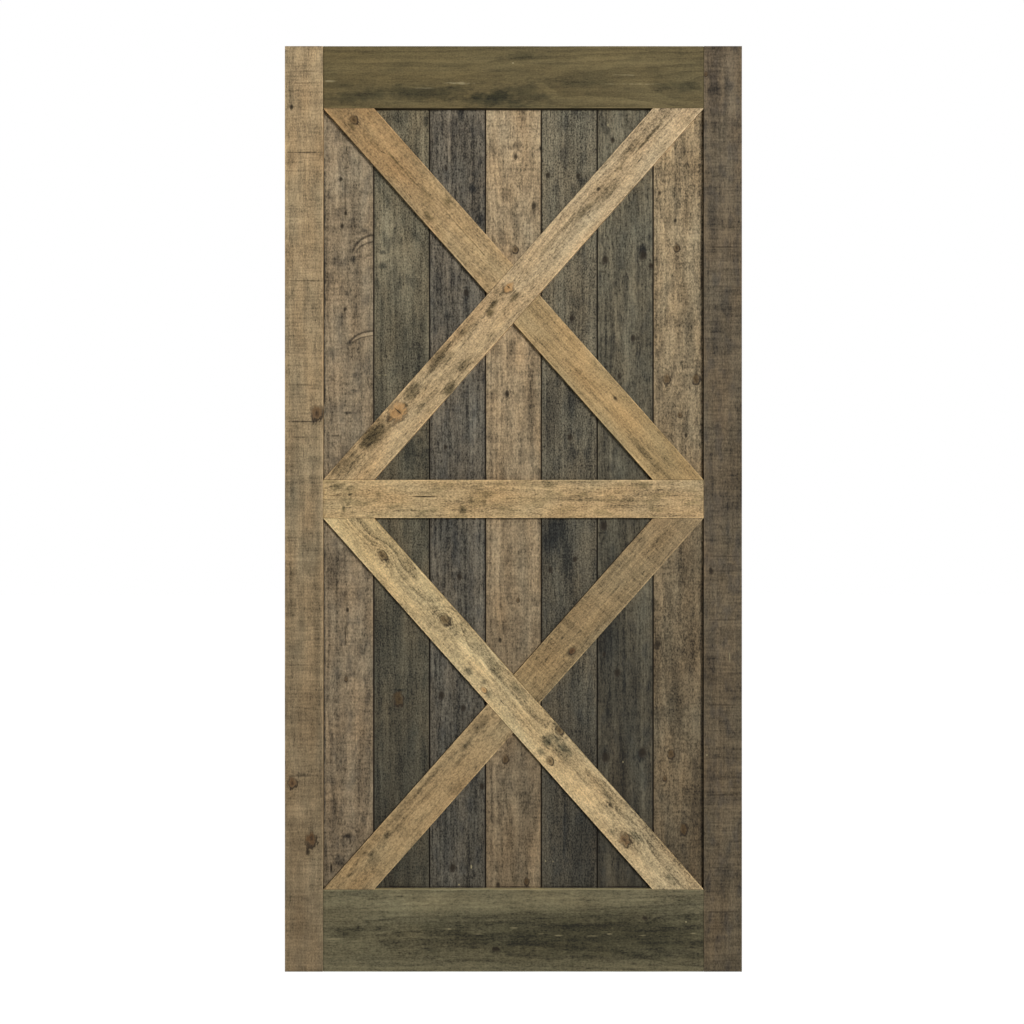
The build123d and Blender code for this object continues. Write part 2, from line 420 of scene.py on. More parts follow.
# %% Marks on the planks
plank_marks = {
    "plank_2": dict(
        knots=[(340.8, 179, 1.6, 1.0), (345.5, 213, 1.5, 1.0), (342, 226, 1.6, 1.0),
               (345, 309, 1.6, 0.9), (347.4, 609.5, 1.6, 1.0), (346, 679, 2.0, 0.7)],
        eyes=[(347, 840, 3.8, 0.5)],
        cracks=[(345, 195, 0.55, 34, 0.8), (345.5, 636, 0.5, 14, 0.7), (345, 770, 0.5, 5, 0.9),
                (336, 436, 6, 0.8, 0.9), (352, 350, 0.5, 8, 0.6), (331, 868, 1.2, 8, 1.0),
                (347.2, 836, 6.5, 4.6, 1.0)],
        smudges_and_painted_shade=[(366, 231, 5, 4, 1.0), (353.5, 259, 4, 4, 1.1), (349, 343, 4, 4, 1.0),
                 (356.5, 375, 5, 3, 1.1), (356, 391, 6, 2, 0.9), (349, 413, 5, 2, 0.8),
                 (365, 192, 5, 6, 0.5), (347, 294, 2, 4, 1.0), (353, 674, 6, 4, 0.9),
                 (345, 560, 2, 12, 0.5), (333, 815, 5, 34, 0.6), (362, 790, 8, 14, 0.5),
                 # The two long thin smudges at 324.4 are painted shade along the left stile's inner
                 # edge
                 (339, 860, 7, 7, 0.9), (324.4, 300, 1.3, 190, 1.4), (324.4, 700, 1.3, 190, 1.3)],
        shades=[(334, 568, 12, 26, 0.7)],
        scuffs=[(347, 843, 2.6, 3, 0.7), (350, 650, 5, 26, 0.4), (350, 790, 6, 30, 0.5),
                (334, 200, 6, 60, 0.5), (341, 208, 2, 14, 0.6), (356.6, 741, 1.6, 2, 1.2),
                (336, 440, 6, 1.4, 0.8)],
        crescents=[(374.5, 259, 23, 24), (374.5, 347, 26, 16)],
    ),
    "plank_3": dict(
        knots=[(398.4, 699, 5.4, 0.75)],
        smudges_and_painted_shade=[(426, 120, 4, 8, 0.9), (412, 452, 16, 40, 1.0), (400, 345, 9, 50, 0.4),
                 (383, 266, 5, 4, 1.0), (383, 252, 5, 2.5, 0.9), (398, 605, 10, 44, 0.6),
                 (404, 770, 12, 40, 0.4), (398, 690, 9, 1.6, 1.3), (420, 380, 6, 40, 0.5),
                 (398, 118, 10, 10, 0.7)],
        scuffs=[(418.5, 121, 2, 9, 1.1), (408, 265, 14, 40, 0.6), (388, 236, 12, 34, 2.0),
                (408, 658, 1.2, 22, 0.9), (414, 652, 0.9, 26, 0.7), (411, 545, 2.5, 4, 0.8)],
        shades=[(392, 625, 18, 42, 0.4)],
        flecks=[(385.6, 375, 1.8, 1.0, 0.7), (379, 375, 3, 0.9, 0.4)],
    ),
    "plank_4": dict(
        knots=[(446, 168, 1.7, 0.9), (445.3, 447, 1.7, 1.0), (463, 708, 2.2, 1.0), (466, 292, 2.6, 0.9),
               (482, 786, 2.2, 1.0), (459.3, 576.5, 2.6, 0.9), (441.3, 695, 3.2, 0.9),
               (452.8, 867.5, 3.0, 0.9)],
        smudges_and_painted_shade=[(473, 188, 6, 6, 1.2), (480.5, 221, 5, 9, 1.1), (455, 545, 6, 40, 1.0),
                 (466, 300, 4, 14, 0.8), (484, 378, 4, 9, 1.0), (461, 114, 4, 8, 0.9),
                 (455, 170, 2, 40, 0.4), (462, 660, 8, 40, 0.6), (448, 850, 6, 30, 0.5),
                 (440, 285, 6, 20, 0.6)],
        scuffs=[(470, 440, 3, 40, 0.5), (475, 550, 3, 30, 0.5), (440, 130, 5, 30, 0.9),
                (434, 666, 2, 2.5, 0.9)],
        shades=[(445, 535, 13, 28, 0.35)],
        flecks=[(471.4, 867, 1.2, 2.6, 0.9), (459, 884.7, 1.2, 1.2, 0.9)],
    ),
    "plank_5": dict(
        knots=[(515.6, 156.4, 2.0, 0.8), (533.6, 205.6, 2.2, 0.8), (515, 249.5, 3.2, 0.7),
               (507, 394, 2.2, 0.8), (498, 884.7, 2.2, 0.8), (526.6, 881.6, 2.8, 0.7),
               (505.4, 759.4, 3.2, 0.7), (500, 640, 1.7, 0.9), (518, 600, 1.8, 0.7),
               (540.4, 148, 1.4, 0.9)],
        smudges_and_painted_shade=[(531, 400, 6, 60, 0.5), (516, 215, 3, 34, 0.4), (505, 195, 6, 6, 0.5),
                 (520, 640, 8, 30, 0.4), (530, 800, 9, 50, 0.45), (512, 350, 5, 16, 0.6),
                 (499, 803, 2.5, 5, 0.5)],
        scuffs=[(505, 300, 6, 60, 0.4), (500, 420, 4, 40, 0.5), (498, 550, 4, 30, 0.6),
                (496, 830, 3, 44, 0.8), (495, 180, 5, 30, 0.4)],
    ),
    "plank_6": dict(
        knots=[(547.7, 175, 2.2, 1.0), (578, 176, 2.2, 1.0), (572, 318, 2.4, 1.0), (570, 437, 2.6, 1.0),
               (550.4, 569.6, 2.2, 1.0), (575, 559, 2.0, 0.8)],
        smudges_and_painted_shade=[(571, 400, 5, 30, 0.9), (583, 181, 6, 6, 1.0), (568, 560, 10, 44, 0.9),
                 (572, 455, 6, 14, 0.8), (565, 842, 3.5, 50, 1.2), (560, 620, 8, 40, 0.5),
                 (576, 112, 5, 6, 0.8), (552, 529, 6, 8, 0.9)],
        shades=[(554, 534, 16, 32, 1.5), (552, 410, 12, 44, 0.5)],
        scuffs=[(564, 136, 2.4, 30, 1.0), (556, 300, 3, 30, 0.4), (550, 350, 3, 30, 0.4),
                (548, 545, 2, 24, 0.4), (548, 574, 2, 1.4, 1.2)],
        flecks=[(545.5, 861, 1.1, 1.5, 0.6), (553, 861.6, 1.0, 1.2, 0.4)],
    ),
    "plank_7": dict(
        knots=[(612.5, 140, 2.0, 1.0), (605, 259, 3.2, 0.8), (643, 255, 3.4, 1.0),
               (650.8, 265, 2.2, 1.0), (633, 338, 2.4, 0.9), (619, 376, 2.0, 1.0),
               (642.5, 752, 3.8, 1.0), (604, 654, 1.6, 0.8), (617.2, 672, 2.8, 0.9),
               (605.5, 757, 3.4, 0.9), (603.6, 525.5, 3.2, 0.9)],
        cracks=[(603, 272, 4, 0.8, 0.7), (652, 265.5, 3, 0.6, 0.8)],
        smudges_and_painted_shade=[(641, 250, 6, 8, 1.2), (626, 300, 3, 40, 0.6), (624, 683, 3, 50, 1.0),
                 (634, 700, 5, 60, 0.6), (632, 430, 9, 26, 0.7), (640, 756, 8, 8, 0.9),
                 (606, 752, 6, 8, 0.7), (609, 645, 6, 16, 0.4)],
        shades=[(627, 690, 22, 70, 0.35), (608, 642, 14, 40, 1.1)],
        scuffs=[(617, 310, 4, 40, 0.5), (610, 340, 3, 30, 0.4), (611, 460, 4, 20, 0.5)],
        flecks=[(608, 125, 1.5, 2, 0.6), (623, 762, 1.1, 1.6, 0.7)],
    ),
    "plank_8": dict(
        knots=[(659.4, 193, 1.7, 1.0), (676.6, 248, 3.0, 0.75), (667, 379, 3.8, 0.75),
               (696, 379, 4.0, 0.75), (675, 220.5, 1.4, 0.8), (680, 415, 2.2, 0.7),
               (657, 644.6, 3.2, 1.0), (664.8, 778.4, 2.2, 0.7), (683.6, 829.2, 4.2, 0.75),
               (686, 435, 1.6, 0.8), (671, 754.4, 3.6, 0.7)],
        smudges_and_painted_shade=[(690, 330, 5, 40, 0.5), (676, 200, 3, 30, 0.5), (690, 640, 6, 60, 0.5),
                 (672, 700, 6, 50, 0.3), (670, 320, 6, 6, 0.6), (677, 262, 3, 14, 0.6),
                 # The two long thin smudges at 701.5 are a painted shadow of the right stile on the
                 # plank
                 (686, 560, 14, 44, 0.6), (701.5, 300, 1.6, 190, 0.8), (701.5, 700, 1.8, 190, 0.8)],
        scuffs=[(674, 220, 4, 30, 0.4), (676, 375, 1.8, 10, 0.9), (665, 440, 3, 26, 0.4),
                (664, 700, 3, 50, 0.4)],
    ),
}
print(len(plank_marks), "planks have marks")

# %% Marks put on the boards
photo_marks = frame_marks | brace_marks | plank_marks
round_kinds = ("knots", "eyes")
saw_and_shade_levels = {
    "left_stile": [(71, 0.45), (83, 0.5), (152.4, 1.0), (171, 0.3), (280.6, 0.7), (346, 0.3),
                   (385, 0.45), (421.4, 1.0), (437, 0.5), (556, 0.4), (562, 0.4), (665, 0.4),
                   (720, 0.35), (776, 0.5), (909, 0.4)],
    "right_stile": [(123, 0.3), (247, 0.8), (370, 0.4), (421, 0.4), (489, 0.4), (556.6, 0.5),
                    (571, 0.45), (620, 0.6), (665, 0.3), (705, 0.75), (795, 0.7), (868, 0.6),
                    (912, 0.55), (929, 0.5)],
}
# A dark line of painted shade crosses each of the inner planks just above the bottom rail, cut as a
# groove too
shade_line_level = 886.9
for node in planks[1:-1]:
    saw_and_shade_levels[node] = [(shade_line_level, 1.0)]
for node, kinds in photo_marks.items():
    for kind, places in kinds.items():
        if kind in round_kinds:
            places = round_marks(places)
        boards[node].marks[kind] = marks_on(boards[node], places)
for node, levels in saw_and_shade_levels.items():
    boards[node].marks["saw_and_shade_lines"] = lines_on(boards[node], levels)
mark_count = sum(len(marks) for board in boards.values() for marks in board.marks.values())
print(mark_count, "marks on", len(photo_marks), "boards")

# %% [markdown]
# ## The shape of an old board
#
# A sawn board is never a clean box. Its arrises are rubbed to an uneven round, its face waves a little
# where the saw wandered, knots stand in shallow dishes and splits open along the grain. All of this
# is cut into the board, never built up, so a board stays inside its measured size.

# %% Relief of a board's face
face_wave = 0.25 * MM
saw_ridge = 0.15 * MM
knot_dish = 0.6 * MM
split_depth = 2.5 * MM
line_depth = 0.5 * MM
wave_length = Vector((45 * MM, 260 * MM))
ridge_length = Vector((120 * MM, 16 * MM))
ridge_seed = 0.5
dish_slope = 2.0


def ripple(across, along, size, seed):
    """Smooth noise from 0 to 1, stretched to this size across and along the board."""
    return 0.5 + 0.5 * noise.noise(Vector((across / size.x, along / size.y, seed)))


def spot(mark, across, along):
    """1 in the middle of a mark, falling to 0 at its edge."""
    far = math.hypot((across - mark.across) / mark.width, (along - mark.along) / mark.length)
    return max(0.0, 1.0 - far)


def relief(board, across, along, seed):
    """How deep the face lies under its measured plane."""
    depth = face_wave * ripple(across, along, wave_length, seed)
    depth += saw_ridge * ripple(across, along, ridge_length, seed + ridge_seed)
    for mark in board.marks.get("knots", []) + board.marks.get("eyes", []):
        depth += knot_dish * min(1.0, dish_slope * spot(mark, across, along))
    for kind, deepest in (("cracks", split_depth), ("saw_and_shade_lines", line_depth)):
        for mark in board.marks.get(kind, []):
            depth += deepest * mark.amount * spot(mark, across, along)
    return depth


print("splits are cut", split_depth / MM, "mm deep, saw lines", line_depth / MM, "mm")

# %% [markdown]
# ## Rubbed arrises and chips
#
# The round along each front arris grows and shrinks as it was knocked and handled, and here and there a
# chip has come off. The board's two sides also wander by a hair, as a hand-fed saw leaves them.

# %% Arris and side wander
arris_round = 0.9 * MM
arris_change = 0.5 * MM
arris_length = 60 * MM
side_wander = 0.35 * MM
wander_length = 170 * MM
wander_seed = 7.0
end_ease = 0.5 * MM


def arris(board, side, along):
    """Radius of the rubbed front arris at one place along a side, with its chips."""
    change = noise.noise(Vector((along / arris_length, side, board.seed)))
    radius = arris_round + arris_change * change
    for chip in board.marks.get("chips", []):
        if chip.across * side > 0:
            reach = 1.0 - abs(along - chip.along) / chip.length
            radius += chip.width * max(0.0, reach)
    return radius


def side_place(board, side, along):
    """Where a side lies: its measured place, less a little wander."""
    wander = noise.noise(Vector((along / wander_length, wander_seed * side, board.seed)))
    return side * (board.half_width - side_wander * (0.5 + 0.5 * wander))


least_round, most_round = arris_round - arris_change, arris_round + arris_change
print("arrises from", round(least_round / MM, 1), "to", round(most_round / MM, 1), "mm")

# %% [markdown]
# ## From section to mesh
#
# A board is a loop of points round its section, drawn again at every few millimetres of its length and
# joined with quads. Near a slanted end the loops lean over until they lie in the cut. Extra columns
# are added beside each split and extra loops beside each saw line, so those are real cuts in the mesh.

# %% Columns and loops
face_pitch = 5.0 * MM
loop_pitch = 7.0 * MM
column_gap = 0.8 * MM
loop_gap = 0.3 * MM
end_share = 0.005


def spread(shares, least):
    """The shares in order, without any that lie too close to the one before."""
    kept = []
    for share in sorted(shares):
        inside = end_share < share < 1 - end_share
        if inside and (not kept or share - kept[-1] >= least):
            kept.append(share)
    return kept


def face_columns(board):
    """Shares of the way across the face, closer together beside splits."""
    width = 2 * board.half_width
    count = round(width / face_pitch)
    shares = [n / count for n in range(1, count)]
    for mark in board.marks.get("cracks", []):
        middle = (mark.across + board.half_width) / width
        reach = min(mark.width, face_pitch) / width
        shares += [middle - reach, middle, middle + reach]
    return spread(shares, column_gap / width)


def loop_shares(board):
    """Shares of the way along, closer together beside saw lines and at the ends."""
    start, stop = board.span()
    length = stop - start
    count = round(length / loop_pitch)
    shares = [n / count for n in range(1, count)]
    for mark in board.marks.get("saw_and_shade_lines", []):
        middle = (mark.along - start) / length
        reach = mark.length / length
        shares += [middle - reach, middle, middle + reach]
    ease = end_ease / length
    return [0.0, ease, *spread(shares, loop_gap / length), 1 - ease, 1.0]


for node in ("left_stile", "plank_2"):
    print(node, len(face_columns(boards[node])), "columns,", len(loop_shares(boards[node])), "loops")

# %% Section loop
arris_steps = 3
back_columns = 10
back_seed = 40
quarter = [math.pi / 2 * n / arris_steps for n in range(arris_steps + 1)]


def arc(side, place, radius, front):
    """The rubbed arris of one side, from the face round to the side."""
    points = []
    for angle in quarter:
        across = place - side * radius * (1 - math.sin(angle))
        points.append((across, front + radius * (1 - math.cos(angle))))
    return points


def section_loop(board, columns, share, ease):
    """Points (across, depth) round the section: front face, right side, back, left side."""
    start, stop = board.span()
    along = start + share * (stop - start)
    left, right = side_place(board, -1, along), side_place(board, 1, along)
    left_round, right_round = arris(board, -1, along) + ease, arris(board, 1, along) + ease
    front, back = board.front + ease, board.back
    loop = arc(-1, left, left_round, front)[::-1]
    for column in columns:
        across = left + left_round + column * (right - right_round - left - left_round)
        loop.append((across, front + relief(board, across, along, board.seed)))
    loop += arc(1, right, right_round, front)
    loop += [(right + out, depth) for out, depth in board.right_edge]
    loop += [(right, back - end_ease), (right - end_ease, back)]
    for n in range(back_columns - 1, 0, -1):
        across = left + (right - left) * n / back_columns
        loop.append((across, back - relief(board, across, along, board.seed + back_seed)))
    loop += [(left + end_ease, back), (left, back - end_ease)]
    loop += [(left - out, depth) for out, depth in reversed(board.left_edge)]
    return loop


stile = boards["left_stile"]
stile_loop = section_loop(stile, face_columns(stile), 0.5, 0)
print("a stile's section has", len(stile_loop), "points")

# %% Board mesh
board_crisp = math.radians(50)


def tube_faces(start, rings, size, turned=False):
    """Quads between equal rings of points, and both ends. Turned faces look the other way."""
    last = start + (rings - 1) * size
    quads = []
    for first in range(start, last, size):
        second = first + size
        for k in range(size):
            after = (k + 1) % size
            quads.append((first + k, first + after, second + after, second + k))
    near, far = tuple(range(start, start + size)), tuple(range(last, last + size))
    if turned:
        return [(a, d, c, b) for a, b, c, d in quads] + [near, far[::-1]]
    return quads + [near[::-1], far]


def board_mesh(board):
    """The closed mesh of one board: eased at the end cuts, smooth over the arrises."""
    columns = face_columns(board)
    shares = loop_shares(board)
    points = []
    for share in shares:
        ease = end_ease if share in (shares[0], shares[-1]) else 0.0
        for across, depth in section_loop(board, columns, share, ease):
            start, stop = board.end(0, across), board.end(1, across)
            reach = start + share * (stop - start)
            place = board.centre + board.across * across + board.along * reach
            points.append((place.x, depth, place.z))
    mesh = bpy.data.meshes.new(board.node + "_wood")
    mesh.from_pydata(points, [], tube_faces(0, len(shares), len(points) // len(shares)))
    mesh.validate()
    mesh.shade_smooth()
    mesh.set_sharp_from_angle(angle=board_crisp)
    return mesh


pieces = {}
for node, board in boards.items():
    piece = shown(node + "_board", board_mesh(board))
    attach(piece, "root")
    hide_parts(node)
    pieces[node] = piece
print(len(pieces), "boards,", sum(len(p.data.polygons) for p in pieces.values()), "faces")

# %% [markdown]
# ## Cut nails in the back
#
# The planks hold the frame with cut nails, driven from the back. A cut nail is sheared from plate, so
# its head and shank are rectangular. The heads could be one shape copied about, but a hammer leaves
# each one a little different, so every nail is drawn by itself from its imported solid. Wet iron stains
# wood, so each nail also leaves a dark streak on its plank.

# %% Nails
nail_reach = 10.0 * MM
corner_cut = 0.3 * MM
head_height = 2.0 * MM
rim_height = 0.3 * MM
head_crown = 0.25 * MM
crown_lean = 0.4 * MM
crown_middle_share = 0.6
tip_share = 0.34
neck_share = 0.68
face_shares = (0.86, 0.94)
crown_shares = (0.45, 0.55)
lean_scale = 40
lean_seed = 3.0
nail_crisp = math.radians(40)
stain_width = 6.0 * MM
stain_length = 28.0 * MM
stain_drop = 12.0 * MM


def nail_boxes():
    """Low and high corners of every nail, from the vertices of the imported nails."""
    boxes = []
    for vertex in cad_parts["back_nails"].data.vertices:
        point = vertex.co.copy()
        near = [box for box in boxes if (box[0] - point).xz.length < nail_reach]
        if near:
            low, high = near[0]
            for axis in range(3):
                low[axis] = min(low[axis], point[axis])
                high[axis] = max(high[axis], point[axis])
        else:
            boxes.append((point, point.copy()))
    return boxes


def ring(x, y, z, half_x, half_z):
    """A rectangle with cut corners round a nail's axis."""
    cut = min(corner_cut, half_x / 2, half_z / 2)
    pair = [(half_x - cut, half_z), (half_x, half_z - cut)]
    corners = [(1, 1, pair), (1, -1, pair[::-1]), (-1, -1, pair), (-1, 1, pair[::-1])]
    return [(x + p * a, y, z + q * b) for p, q, points in corners for a, b in points]


def nail_rings(low, high):
    """Sections of one nail from its tip to its hammered crown."""
    x, z = (low.x + high.x) / 2, (low.z + high.z) / 2
    plate, head = (high.x - low.x) / 2, (high.z - low.z) / 2
    lean = noise.noise(Vector((x * lean_scale, z * lean_scale, lean_seed)))
    neck_y = high.y - head_height
    crown_y = high.y + head_crown * (crown_middle_share + (1 - crown_middle_share) * lean)
    return [
        ring(x, low.y, z, plate, head * tip_share),
        ring(x, neck_y, z, plate, head * neck_share),
        ring(x, neck_y, z, plate, head),
        ring(x, high.y - rim_height, z, plate, head),
        ring(x, high.y, z, plate * face_shares[0], head * face_shares[1]),
        ring(x, crown_y, z + lean * crown_lean, plate * crown_shares[0], head * crown_shares[1]),
    ]


nail_list = nail_boxes()
points, faces = [], []
for low, high in nail_list:
    rings = nail_rings(low, high)
    faces += tube_faces(len(points), len(rings), len(rings[0]), turned=True)
    points += [point for loop in rings for point in loop]
    for node in planks:
        across, along = boards[node].local((low + high) / 2)
        if abs(across) < boards[node].half_width:
            stain = Mark(across, along - stain_drop, stain_width, stain_length)
            boards[node].marks.setdefault("stains", []).append(stain)
nails = shown("cut_nails", bpy.data.meshes.new("cut_nails"))
nails.data.from_pydata(points, [], faces)
nails.data.validate()
nails.data.set_sharp_from_angle(angle=nail_crisp)
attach(nails, "root")
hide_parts("back_nails")
print(len(nail_list), "nails,", len(faces), "faces")

# %% [markdown]
# ## Writing nodes
#
# The wood is made of many small steps, so a helper writes the nodes: each of its methods adds one node
# and hands back the socket with the result. Effects that every board shares are node groups with
# named inputs and outputs, and a material places them with its own values.

# %% Node writer
class Wires:
    """Writes nodes into one tree and returns their sockets."""

    def __init__(self, tree):
        self.tree = tree

    def node(self, kind, *values, **settings):
        """A new node: settings go to its properties, values to its first inputs."""
        made = self.tree.nodes.new(kind)
        for name, value in settings.items():
            setattr(made, name, value)
        for socket, value in zip(made.inputs, values):
            self.feed(socket, value)
        return made

    def feed(self, socket, value):
        if isinstance(value, bpy.types.NodeSocket):
            self.tree.links.new(value, socket)
        else:
            socket.default_value = value

    def math(self, operation, *values, clamp=False):
        return self.node("ShaderNodeMath", *values, operation=operation, use_clamp=clamp).outputs[0]

    def plus(self, first, second):
        return self.math("ADD", first, second)

    def less(self, first, second):
        return self.math("SUBTRACT", first, second)

    def times(self, first, second):
        return self.math("MULTIPLY", first, second)

    def weigh(self, start, *pairs):
        """A start value, plus each socket times its weight."""
        for socket, weight in pairs:
            start = self.math("MULTIPLY_ADD", socket, weight, start)
        return start

    def most(self, sockets):
        """The strongest of many values, or zero where there are none."""
        strongest = 0.0
        for socket in sockets:
            strongest = self.math("MAXIMUM", strongest, socket)
        return strongest

    def step(self, value, low, high):
        """A smooth step from 0 at the first limit to 1 at the second, which may be the lower one."""
        made = self.node("ShaderNodeMapRange", value, low, high, interpolation_type="SMOOTHSTEP")
        return made.outputs["Result"]

    def vector(self, operation, *values, result="Vector"):
        return self.node("ShaderNodeVectorMath", *values, operation=operation).outputs[result]

    def scaled(self, vector, scale):
        made = self.node("ShaderNodeVectorMath", vector, operation="SCALE")
        self.feed(made.inputs["Scale"], scale)
        return made.outputs[0]

    def joined(self, *values):
        return self.node("ShaderNodeCombineXYZ", *values).outputs[0]

    def parts(self, vector):
        return self.node("ShaderNodeSeparateXYZ", vector).outputs

    def cloud(self, vector, size, detail=1.0):
        """Noise from 0 to 1 with cells of this size; each step of detail adds a finer layer."""
        made = self.node("ShaderNodeTexNoise", self.vector("DIVIDE", vector, size))
        made.inputs["Scale"].default_value = 1.0
        made.inputs["Detail"].default_value = detail
        return made.outputs[0]

    def swing(self, vector, size, detail=1.0):
        """The same noise about zero."""
        return self.less(self.cloud(vector, size, detail), 0.5)

    def tint(self, amount, first, second):
        """Two colours mixed: the first at 0, the second at 1."""
        made = self.node("ShaderNodeMix", amount, data_type="RGBA")
        ends = [socket for socket in made.inputs if socket.type == "RGBA"]
        self.feed(ends[0], first)
        self.feed(ends[1], second)
        return next(socket for socket in made.outputs if socket.type == "RGBA")

    def group(self, tree, **values):
        """A placed group; each value goes to the input with its name."""
        made = self.node("ShaderNodeGroup", node_tree=tree)
        for name, value in values.items():
            self.feed(made.inputs[name.replace("_", " ").capitalize()], value)
        return made.outputs


vector_outputs = ("Place", "Grain")


def effect(name, inputs, outputs):
    """A new node group with named sockets: its tree, its writer, its inputs and its outputs."""
    tree = bpy.data.node_groups.new(name, "ShaderNodeTree")
    for socket, kind in inputs.items():
        tree.interface.new_socket(name=socket, in_out="INPUT", socket_type="NodeSocket" + kind)
    for socket in outputs:
        kind = "Vector" if socket in vector_outputs else "Float"
        tree.interface.new_socket(name=socket, in_out="OUTPUT", socket_type="NodeSocket" + kind)
    wires = Wires(tree)
    return tree, wires, wires.node("NodeGroupInput").outputs, wires.node("NodeGroupOutput").inputs


print("node writer ready")

# %% [markdown]
# ## Board space
#
# Wood grain follows the board, not the room. This group turns a point into the board's own terms:
# across, depth and along. A second output is shifted by the board's seed, so that no two boards share
# the same noise.

# %% Board space
seed_shift = (3.7, 5.3, 11.9)


def make_board_space():
    tree, wires, given, out = effect(
        "Board space",
        {"Centre": "Vector", "Across": "Vector", "Along": "Vector", "Seed": "Float"},
        ["Place", "Grain"],
    )
    point = wires.node("ShaderNodeTexCoord").outputs["Object"]
    offset = wires.vector("SUBTRACT", point, given["Centre"])
    across = wires.vector("DOT_PRODUCT", offset, given["Across"], result="Value")
    along = wires.vector("DOT_PRODUCT", offset, given["Along"], result="Value")
    place = wires.joined(across, wires.parts(point)[1], along)
    wires.feed(out["Place"], place)
    wires.feed(out["Grain"], wires.vector("ADD", place, wires.scaled(seed_shift, given["Seed"])))
    return tree


board_space = make_board_space()
print(board_space.name, "group made")

# %% [markdown]
# ## Growth rings
#
# A tree adds a pale early ring and a dark late ring each year. Sawn through, these rings are the grain:
# straight lines where the cut passes beside the pith, and nested arches where it runs along it. So the
# group measures the distance from the pith, lets it drift along the board, and pushes the rings aside
# at knots through the Swirl input.

# %% Growth rings
sway_size = (160 * MM, 160 * MM, 500 * MM)
shake_size = (30 * MM, 30 * MM, 90 * MM)
shake_share = 0.22
faint_year_share = 0.35
late_start_shares = (0.2, 0.85)
late_end_shares = (1.0, 0.9)


def make_growth_rings():
    tree, wires, given, out = effect(
        "Growth rings",
        {"Place": "Vector", "Grain": "Vector", "Pith across": "Float", "Pith depth": "Float",
         "Drift": "Float", "Ring width": "Float", "Wander": "Float", "Swirl": "Float"},
        ["Latewood"],
    )
    across, depth, along = wires.parts(given["Place"])
    sway = wires.cloud(given["Grain"], sway_size)
    shake = wires.cloud(given["Grain"], shake_size)
    moved = wires.weigh(-(1 + shake_share) / 2, (sway, 1.0), (shake, shake_share))
    aside = wires.less(across, given["Pith across"])
    below = wires.weigh(wires.less(depth, given["Pith depth"]), (along, given["Drift"]))
    radius = wires.math("SQRT", wires.weigh(wires.times(below, below), (aside, aside)))
    radius = wires.weigh(wires.plus(radius, given["Swirl"]), (moved, given["Wander"]))
    years = wires.math("DIVIDE", radius, given["Ring width"])
    season = wires.math("FRACT", years)
    late = wires.times(wires.step(season, *late_start_shares), wires.step(season, *late_end_shares))
    year = wires.node("ShaderNodeTexWhiteNoise", noise_dimensions="1D")
    wires.feed(year.inputs["W"], wires.math("FLOOR", years))
    strength = wires.weigh(faint_year_share, (year.outputs["Value"], 1 - faint_year_share))
    wires.feed(out["Latewood"], wires.times(late, strength))
    return tree


growth_rings = make_growth_rings()
print(growth_rings.name, "group made")

# %% [markdown]
# ## Fibre, saw marks and weather
#
# Three more effects lie over the rings. Fibre is the fine streak of the grain, with a speckle where
# stain sat in open pores and dark ticks where a fibre tore out. Saw marks are the ridges that the
# blade left across the board. Weather is the slow change of tone and hue, in large clouds and in small
# mottle. Its Ragged and Smoke outputs fray the edges of the marks that come later.

# %% Fibre, saw marks and weather
streak_size = (6 * MM, 6 * MM, 200 * MM)
dash_size = (3.2 * MM, 3.2 * MM, 15 * MM)
pore_size = (3 * MM, 3 * MM, 4.5 * MM)
ridge_size = (45 * MM, 300 * MM, 4.6 * MM)
band_size = (140 * MM, 300 * MM, 30 * MM)
cloud_size = (32 * MM, 32 * MM, 260 * MM)
mottle_size = (20 * MM, 20 * MM, 50 * MM)
ragged_size = (7 * MM, 7 * MM, 12 * MM)
hue_size = (50 * MM, 50 * MM, 140 * MM)
cloud_detail = 2.0
tick_range = (0.36, 0.24)
mottle_range = (0.48, 0.68)
smoke_mottle = 2.0
smoke_ragged = 1.2


def make_fibre():
    tree, wires, given, out = effect("Fibre", {"Grain": "Vector"}, ["Streak", "Pore", "Tick"])
    coarse = wires.cloud(given["Grain"], streak_size)
    dash = wires.cloud(given["Grain"], dash_size)
    wires.feed(out["Streak"], wires.less(wires.plus(coarse, dash), 1.0))
    wires.feed(out["Pore"], wires.swing(given["Grain"], pore_size))
    wires.feed(out["Tick"], wires.step(dash, *tick_range))
    return tree


def make_saw_marks():
    tree, wires, given, out = effect("Saw marks", {"Grain": "Vector"}, ["Mark"])
    ridge = wires.cloud(given["Grain"], ridge_size)
    band = wires.cloud(given["Grain"], band_size, cloud_detail)
    wires.feed(out["Mark"], wires.less(wires.plus(ridge, band), 1.0))
    return tree


def make_weather():
    tree, wires, given, out = effect(
        "Weather", {"Grain": "Vector"}, ["Cloud", "Mottle", "Ragged", "Smoke", "Hue"],
    )
    mottle = wires.cloud(given["Grain"], mottle_size, cloud_detail)
    ragged = wires.swing(given["Grain"], ragged_size, cloud_detail)
    wires.feed(out["Cloud"], wires.swing(given["Grain"], cloud_size, cloud_detail))
    wires.feed(out["Mottle"], wires.step(mottle, *mottle_range))
    wires.feed(out["Ragged"], ragged)
    wires.feed(out["Smoke"], wires.weigh(-1.0, (mottle, smoke_mottle), (ragged, smoke_ragged)))
    wires.feed(out["Hue"], wires.swing(given["Grain"], hue_size))
    return tree


fibre = make_fibre()
saw_marks = make_saw_marks()
weather = make_weather()
print(fibre.name, saw_marks.name, weather.name, "groups made")

